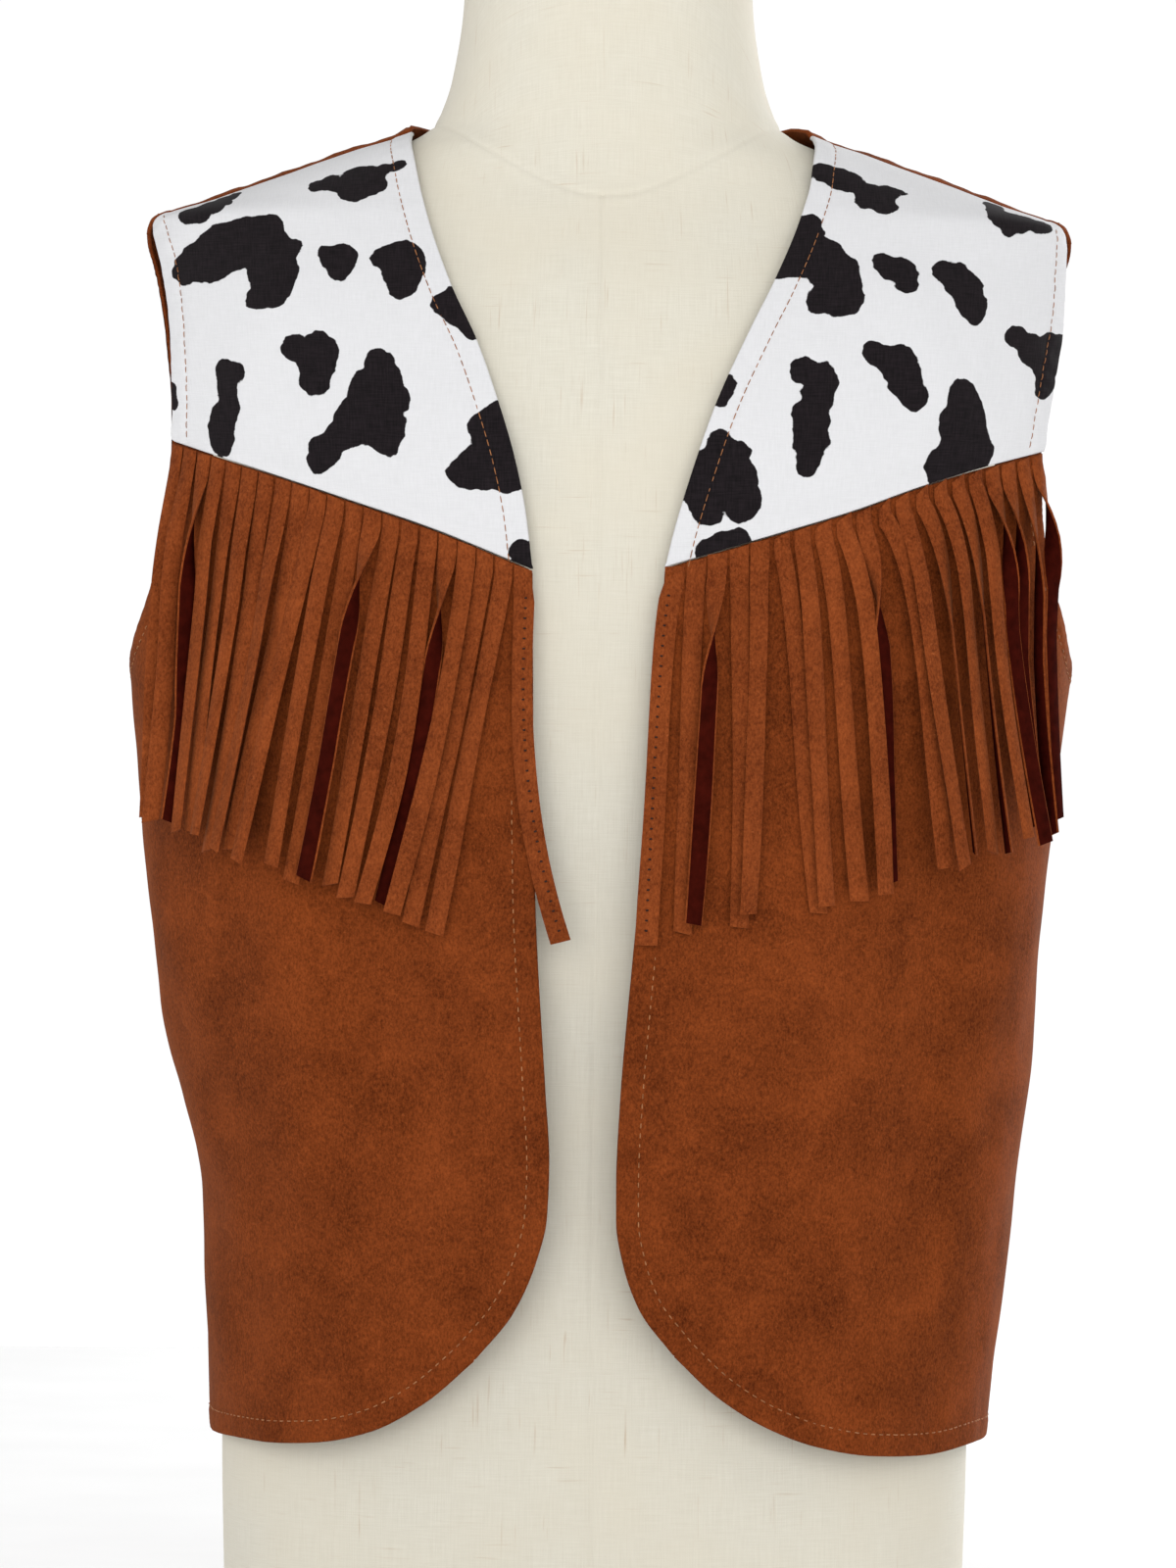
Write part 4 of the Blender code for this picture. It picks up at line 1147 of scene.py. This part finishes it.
def build_fringe(side, name, materials):
    """Soft strands that hang from under the yoke, each a band with a nap side and a smooth reverse."""
    chance = np.random.default_rng(FRINGE_SEED + side)
    rows = FRINGE[side][::-1] if side == RIGHT else FRINGE[side]
    roots = strand_roots(side, len(rows))
    bows = chance.uniform(-1.0, 1.0, len(rows) + 2)
    bows = np.convolve(bows, BOW_BLEND, "valid") * STRAND_BOW
    # Above the foot of the strip the strands reach back up under the yoke.
    steps = np.concatenate([-ROOT_RISES, STRAND_STEPS])
    share = np.clip(steps / STRAND_LENGTH, 0, 1)
    sides = len(STRAND_SECTION)
    each = len(steps) * sides
    band = grid_faces(len(steps), sides, closed=True)
    band_marks = [int(corner in REVERSE_SIDES) for corner in range(sides)] * (len(steps) - 1)
    points, faces, marks = [], [], []
    for index, (drift, stand_off, turn) in enumerate(rows):
        root = (roots[2 * index], roots[2 * index + 1])[::side]
        own_steps = STRAND_STEPS * (1 + chance.uniform(-LENGTH_SPREAD, LENGTH_SPREAD))
        twist = chance.uniform(-TWIST, TWIST)
        twist = twist * np.sin(np.pi * STRAND_STEPS / STRAND_LENGTH * chance.uniform(*TWIST_WAVES))
        kick = chance.uniform(*KICKS[side])
        path, *heading = strand_path(root, drift, stand_off, turn + twist, bows[index], kick, own_steps)
        foot = path[0] + np.array([0, 0, 1.0]) * (ROOT_RISES + STRAND_STEPS[0])[:, None]
        foot = VEST.settle(foot)
        top = foot + VEST.outward(foot) * (FRINGE_LIFT - ROOT_SINK + swell(foot))[:, None]
        path = np.concatenate([top, path])
        heading = [np.concatenate([part[:1]] * len(ROOT_RISES) + [part]) for part in heading]
        wide, thick, along = heading
        curl = chance.uniform(*CURLS) * np.clip(steps / CURL_LENGTH, 0, 1)
        width = STRAND_WIDTH / 2 * (1 + WIDTH_SPREAD * chance_wave(chance, share, WIDTH_WAVES))
        cut = chance.uniform(-CUT_SLANT, CUT_SLANT)
        sway = SWAY * chance_wave(chance, share, SWAY_WAVES) * share
        if index == 0:
            extra = EDGE_STRAND_EXTRA / 2 * np.clip(steps / EXTRA_LENGTH, 0, 1)
            width = width + extra
            sway = sway - side * extra
            # Marks of painted shade along the edge strand, where its needle holes are.
            hole_shades = needle_hole_shade(path - wide * NEEDLE_INSET * side, along, thick)
        ring = []
        for aside, height in STRAND_SECTION:
            rise = STRAND_CLOTH / 2 * height + curl * (aside ** 2 - CURL_LEVEL)
            point = path + wide * (width * aside + sway)[:, None] + thick * rise[:, None]
            point[-1] += along[-1] * cut * aside
            ring.append(point)
        start = index * each
        points.append(np.stack(ring, axis=1).reshape(-1, 3))
        faces.append(list(range(start, start + sides)))
        faces += (band + start).tolist()
        faces.append(list(range(start + each - sides, start + each)))
        marks += [0] + band_marks + [0]
    fringe = mesh_object(name, np.concatenate(points), faces, materials, sharp=70, marks=marks)
    return fringe, hole_shades


def neck_seam_level(angles):
    """The height of the seam round the foot of the neck, which dips in front and behind."""
    facing = np.sin(angles)
    in_front = NECK_SEAM - NECK_DIP_FRONT * np.abs(facing) ** 3
    return np.where(facing > 0, NECK_SEAM - NECK_DIP_BACK * facing, in_front)


def build_form(name, material):
    """The linen bust with its sewn front seam and the seam round the foot of the neck."""
    fan = np.linspace(-1, 1, FAN_POINTS)
    front = np.pi / 2 * (FAN_EVENNESS * fan + (1 - FAN_EVENNESS) * fan ** 3 - 1)
    angles = np.concatenate([front[:-1], front[:-1] + np.pi])
    seam_level = neck_seam_level(angles)
    heights = np.linspace(FORM_SECTIONS[0][0], FORM_SECTIONS[-1][0], TRACK_SAMPLES)
    samples = np.stack([FORM.ring(angles, height) for height in heights])
    columns = []
    for index, level in enumerate(seam_level):
        track = samples[:, index]
        travelled = lengths_along(track)
        seam_at = np.interp(level, heights, travelled)
        stops = [LOW_SHARES * seam_at, seam_at + HIGH_SHARES * (travelled[-1] - seam_at)]
        columns.append(read_at(np.concatenate(stops), travelled, track))
    grid = np.stack(columns, axis=1)
    levels, around = grid.shape[:2]
    flat = grid.reshape(-1, 3)
    below_top = flat.copy()
    below_top[:, 2] = np.minimum(flat[:, 2], FORM_SECTIONS[-1][0] - TOP_MARGIN)
    outward = FORM.outward(below_top)
    seam_row = len(LOW_SHARES) - 1
    climb = lengths_rows(grid)
    from_neck = np.abs(climb - climb[seam_row]).ravel()
    from_middle = np.abs(flat[:, 0] - FORM_SEAM_X)
    # The cover of the neck is one piece, so the front seam ends at its foot.
    below_neck = np.repeat(np.arange(levels) <= seam_row, around)
    groove = np.zeros(len(flat))
    for distance, shown in ((from_neck, 1.0), (from_middle, below_neck)):
        for height, middle, width in SEAM_PROFILE:
            groove += shown * height * np.exp(-((distance - middle) / width) ** 2)
    flat = flat + outward * groove[:, None]
    girth = np.linalg.norm(np.diff(grid, axis=1), axis=2)
    across = np.concatenate([np.zeros((levels, 1)), np.cumsum(girth, axis=1)], axis=1)
    across = across - across[:, around // 4][:, None]
    cloth = np.stack([across, climb, np.zeros((levels, around))], axis=2).reshape(-1, 3)
    faces = grid_faces(levels, around, closed=True).tolist()
    faces.append(list(range(around)))
    faces.append(list(range((levels - 1) * around, levels * around)))
    form = mesh_object(name, flat, faces, [material], sharp=50)
    point_attribute(form.data, "cloth", cloth)
    return form


class Shader:
    """A node material that is put together by short calls."""

    def __init__(self, name, roughness, specular, sheen=0.0, sheen_tint=WHITE):
        self.material = bpy.data.materials.new(name)
        self.material.use_nodes = True
        self.tree = self.material.node_tree
        self.surface = self.tree.nodes["Principled BSDF"]
        for key, value in (("Roughness", roughness), ("Specular IOR Level", specular),
                           ("Sheen Weight", sheen), ("Sheen Roughness", 0.5),
                           ("Sheen Tint", (*sheen_tint, 1.0))):
            self.surface.inputs[key].default_value = value

    def add(self, kind, inputs=None, **settings):
        node = self.tree.nodes.new(kind)
        for key, value in settings.items():
            setattr(node, key, value)
        for key, value in (inputs or {}).items():
            if isinstance(value, bpy.types.NodeSocket):
                self.tree.links.new(value, node.inputs[key])
            else:
                node.inputs[key].default_value = value
        return node

    def place(self):
        return self.add("ShaderNodeTexCoord").outputs["Object"]

    def attribute(self, name):
        return self.add("ShaderNodeAttribute", attribute_name=name)

    def stretched(self, vector, scale):
        return self.add("ShaderNodeMapping", {"Vector": vector, "Scale": scale}).outputs["Vector"]

    def noise(self, vector, scale, detail, roughness=0.5, distortion=0.0):
        inputs = {"Vector": vector, "Scale": scale, "Detail": detail, "Roughness": roughness,
                  "Distortion": distortion}
        return self.add("ShaderNodeTexNoise", inputs).outputs["Fac"]

    def threads(self, cloth, across, up, detail, roughness):
        """Noise that is fine in one direction of the cloth and drawn out in the other."""
        return self.noise(self.stretched(cloth, (across, up, 1.0)), 1.0, detail, roughness)

    def between(self, value, low, high, to_low=0.0, to_high=1.0):
        """Values from low to high, spread from to_low to to_high and held there past both ends."""
        inputs = {"Value": value, "From Min": low, "From Max": high, "To Min": to_low, "To Max": to_high}
        return self.add("ShaderNodeMapRange", inputs).outputs["Result"]

    def maths(self, operation, first, second):
        return self.add("ShaderNodeMath", {0: first, 1: second}, operation=operation).outputs[0]

    def mixed(self, share, *colours):
        """The first colour where the share is nothing, and the second where it is one."""
        inputs = {0: share}
        for key, colour in zip((6, 7), colours):
            inputs[key] = colour if isinstance(colour, bpy.types.NodeSocket) else (*colour, 1.0)
        return self.add("ShaderNodeMix", inputs, data_type="RGBA").outputs[2]

    def colour(self, socket):
        self.tree.links.new(socket, self.surface.inputs["Base Color"])

    def bumps(self, *layers):
        """Bumps on the surface, each layer with its height, strength and depth in mm."""
        normal = None
        for height, strength, depth in layers:
            inputs = {"Height": height, "Strength": strength, "Distance": depth * METRES}
            if normal is not None:
                inputs["Normal"] = normal
            normal = self.add("ShaderNodeBump", inputs).outputs["Normal"]
        self.tree.links.new(normal, self.surface.inputs["Normal"])


def suede(name, dark, light, speck):
    """Brushed cloth: short nap in fine specks over soft lighter and darker patches."""
    shader = Shader(name, roughness=0.95, specular=0.06, sheen=0.06, sheen_tint=SUEDE_SHEEN)
    place = shader.place()
    patches = shader.noise(place, scale=42.0, detail=3.0, roughness=0.55, distortion=0.4)
    mottle = shader.noise(place, scale=420.0, detail=3.0, roughness=0.6, distortion=0.6)
    combed = shader.stretched(place, (1.0, 1.0, 0.6))
    nap = shader.noise(combed, scale=1500.0, detail=2.0, roughness=0.7)
    tone = shader.between(patches, 0.3, 0.7, to_high=0.34)
    tone = shader.maths("ADD", tone, shader.between(mottle, 0.3, 0.7, to_high=0.22))
    tone = shader.maths("ADD", tone, shader.between(nap, 0.3, 0.7, to_high=0.5))
    base = shader.mixed(shader.between(tone, 0.1, 1.0), dark, light)
    shaded = shader.noise(place, scale=1000.0, detail=2.0, roughness=0.6)
    base = shader.mixed(shader.between(shaded, 0.6, 0.76, to_high=0.3), base, dark)
    fleck = shader.noise(place, scale=900.0, detail=1.0)
    shader.colour(shader.mixed(shader.between(fleck, 0.66, 0.8, to_high=0.35), base, speck))
    shader.bumps((mottle, 0.35, 0.5), (nap, 0.5, 0.28))
    return shader.material


def cotton(name):
    """White plain weave, with the spots dyed where the cloth lies inside their outline."""
    shader = Shader(name, roughness=0.88, specular=0.1, sheen=0.02)
    cloth = shader.attribute("cloth").outputs["Vector"]
    warp = shader.threads(cloth, across=2.2, up=0.16, detail=2.0, roughness=0.6)
    weft = shader.threads(cloth, across=0.16, up=2.2, detail=2.0, roughness=0.6)
    weave = shader.maths("ADD", warp, weft)
    lobes = shader.noise(cloth, scale=0.2, detail=1.5, roughness=0.45)
    fray = shader.noise(cloth, scale=1.6, detail=2.0, roughness=0.6)
    outline = shader.attribute("spot_distance").outputs["Fac"]
    outline = shader.maths("ADD", outline, shader.between(lobes, 0.2, 0.8, to_low=-1.0, to_high=1.0))
    outline = shader.maths("ADD", outline, shader.between(fray, 0.2, 0.8, to_low=-0.1, to_high=0.1))
    white = shader.mixed(shader.between(weave, 0.7, 1.3), *COTTON_WHITE)
    black = shader.mixed(shader.between(weave, 0.75, 1.35), *COTTON_BLACK)
    shader.colour(shader.mixed(shader.between(outline, 0.12, -0.12), white, black))
    shader.bumps((weave, 0.25, 0.12))
    return shader.material


def linen(name):
    """Unbleached plain weave with uneven threads and darker slubs running both ways."""
    shader = Shader(name, roughness=0.85, specular=0.22, sheen=0.1)
    cloth = shader.attribute("cloth").outputs["Vector"]
    upright = shader.threads(cloth, across=2.6, up=0.08, detail=3.0, roughness=0.65)
    level = shader.threads(cloth, across=0.09, up=2.6, detail=3.0, roughness=0.65)
    upright_slub = shader.threads(cloth, across=0.9, up=0.035, detail=2.0, roughness=0.5)
    level_slub = shader.threads(cloth, across=0.04, up=0.95, detail=2.0, roughness=0.5)
    weave = shader.maths("ADD", upright, level)
    base = shader.mixed(shader.between(weave, 0.7, 1.3), *LINEN)
    patches = shader.noise(cloth, scale=0.02, detail=2.0)
    base = shader.mixed(shader.between(patches, 0.35, 0.65, to_high=0.5), base, LINEN_PATCH)
    upright_slub = shader.between(upright_slub, 0.645, 0.77)
    level_slub = shader.between(level_slub, 0.665, 0.79)
    broken = shader.between(shader.noise(cloth, scale=0.06, detail=1.0), 0.44, 0.59, to_high=0.6)
    slub = shader.maths("MULTIPLY", shader.maths("MAXIMUM", upright_slub, level_slub), broken)
    shader.colour(shader.mixed(slub, base, LINEN_SLUB))
    shader.bumps((weave, 0.4, 0.2))
    return shader.material


def reverse_suede(name, dark, light):
    shader = Shader(name, roughness=0.9, specular=0.02)
    mottle = shader.noise(shader.place(), scale=300.0, detail=3.0, roughness=0.6)
    shader.colour(shader.mixed(shader.between(mottle, 0.3, 0.7), dark, light))
    shader.bumps((mottle, 0.25, 0.2))
    return shader.material


def thread(name, dark, light):
    shader = Shader(name, roughness=0.6, specular=0.3)
    place = shader.place()
    shade = shader.noise(place, scale=500.0, detail=1.0)
    shader.colour(shader.mixed(shader.between(shade, 0.35, 0.65), dark, light))
    shader.bumps((shader.noise(place, scale=3000.0, detail=1.0), 0.3, 0.1))
    return shader.material


def floor_material(name, dark, light):
    shader = Shader(name, roughness=0.8, specular=0.1)
    grain = shader.noise(shader.place(), scale=9.0, detail=3.0)
    shader.colour(shader.mixed(shader.between(grain, 0.3, 0.7), dark, light))
    shader.bumps((grain, 0.05, 0.5))
    return shader.material


def area_light(name, place, size, watts):
    lamp = bpy.data.lights.new(name, "AREA")
    lamp.shape = "RECTANGLE"
    lamp.size, lamp.size_y = size
    lamp.energy = watts
    light = bpy.data.objects.new(name, lamp)
    light.location = place
    aim = np.array(LIGHT_TARGET) - np.array(place)
    yaw = np.arctan2(-aim[0], aim[1])
    pitch = np.arctan2(aim[2], np.hypot(aim[0], aim[1]))
    light.rotation_euler = (np.pi / 2 + pitch, 0.0, yaw)
    bpy.context.collection.objects.link(light)


def build_floor():
    corners = [(side_x * FLOOR_REACH, side_y * FLOOR_REACH, 0)
               for side_x, side_y in ((-1, -1), (1, -1), (1, 1), (-1, 1))]
    mesh = bpy.data.meshes.new("floor")
    mesh.from_pydata(corners, [], [(0, 1, 2, 3)])
    mesh.materials.append(floor_material("floor", *PALE_FLOOR))
    floor = bpy.data.objects.new("floor", mesh)
    bpy.context.collection.objects.link(floor)


def build_studio():
    build_floor()
    for light in LIGHTS:
        area_light(*light)
    world = bpy.data.worlds.new("studio")
    world.use_nodes = True
    tree = world.node_tree
    sky = tree.nodes["Background"]
    sky.inputs["Color"].default_value = (*WHITE, 1.0)
    heading = tree.nodes.new("ShaderNodeSeparateXYZ")
    tree.links.new(tree.nodes.new("ShaderNodeTexCoord").outputs["Generated"], heading.inputs[0])
    level = tree.nodes.new("ShaderNodeMath")
    level.operation = "ABSOLUTE"
    tree.links.new(heading.outputs["Y"], level.inputs[0])
    strength = tree.nodes.new("ShaderNodeMapRange")
    strength.interpolation_type = "SMOOTHSTEP"
    tree.links.new(level.outputs[0], strength.inputs["Value"])
    for key, value in BACKDROP.items():
        strength.inputs[key].default_value = value
    tree.links.new(strength.outputs["Result"], sky.inputs["Strength"])
    bpy.context.scene.world = world
    bpy.context.scene.view_settings.view_transform = "Standard"
    bpy.context.scene.view_settings.exposure = 0.0


def place_camera():
    seen_height = PICTURE_HIGH * MM_PER_PIXEL
    middle = (PICTURE_WIDE / 2 - (MIDLINE_TOP - MIDLINE_LEAN * PICTURE_HIGH / 2)) * MM_PER_PIXEL
    data = bpy.data.cameras.new("camera")
    data.sensor_width = SENSOR_WIDTH
    data.lens = SENSOR_WIDTH * CAMERA_DISTANCE / seen_height
    data.clip_start = CLIP_START
    data.clip_end = CLIP_END
    camera = bpy.data.objects.new("camera", data)
    camera.location = (middle * METRES, -CAMERA_DISTANCE * METRES, CAMERA_HEIGHT * METRES)
    camera.rotation_euler = (np.pi / 2, -MIDLINE_LEAN, 0.0)
    bpy.context.collection.objects.link(camera)
    bpy.context.scene.camera = camera


def dress(piece, slot, *nodes):
    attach(piece, "root")
    if nodes:
        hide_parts(*nodes)


def dress_sheet(piece, slot, node, held, *under):
    """Dresses a piece of cloth: attaches it to the root and hides the part of that name."""
    dress(piece, slot, node)


def main():
    brown = suede("suede_nap", *SUEDE)
    strand_materials = [suede("suede_strand", *STRAND_SUEDE), reverse_suede("suede_reverse", *REVERSE)]
    white = cotton("cow_cotton")
    thread_brown = thread("topstitch_thread", *THREAD)
    # The needle holes' near-black colour is painted shade.
    hole_shade = thread("needle_hole_shade", *NEEDLE_HOLE_SHADE)

    form = build_form("linen_form", linen("linen_weave"))
    dress(form, "linen", "dress_form")

    back = back_piece()
    back_cloth = back.build("back_cloth", brown)
    dress_sheet(back_cloth, "suede", "back", "draped", form)
    threads = [back.stitches(SUEDE_STITCH)]
    hole_shades = []
    for side, word in SIDES:
        front = front_piece(side)
        front_cloth = front.build("front_cloth_" + word, brown)
        dress_sheet(front_cloth, "suede", "front_" + word, "draped", form)
        threads.append(front.stitches(SUEDE_STITCH, COVERED_EDGE[side]))
        yoke = yoke_piece(side)
        yoke_cloth = yoke.build("yoke_cloth_" + word, white)
        point_attribute(yoke_cloth.data, "spot_distance", yoke.spread(spot_distance(yoke, side)))
        dress_sheet(yoke_cloth, "cotton", "yoke_" + word, "draped", form)
        threads.append(yoke.stitches(COTTON_STITCH))
        strands, side_hole_shades = build_fringe(side, "fringe_strands_" + word, strand_materials)
        hole_shades.append(side_hole_shades)
        dress_sheet(strands, "suede", "fringe_" + word, "hung", yoke_cloth, front_cloth)
    dress(build_stitches("topstitching", threads, thread_brown), "suede")
    # Small solids coloured with painted shade where the needle holes are.
    dress(build_stitches("needle_hole_shade", hole_shades, hole_shade), "suede")

    build_studio()
    place_camera()


main()
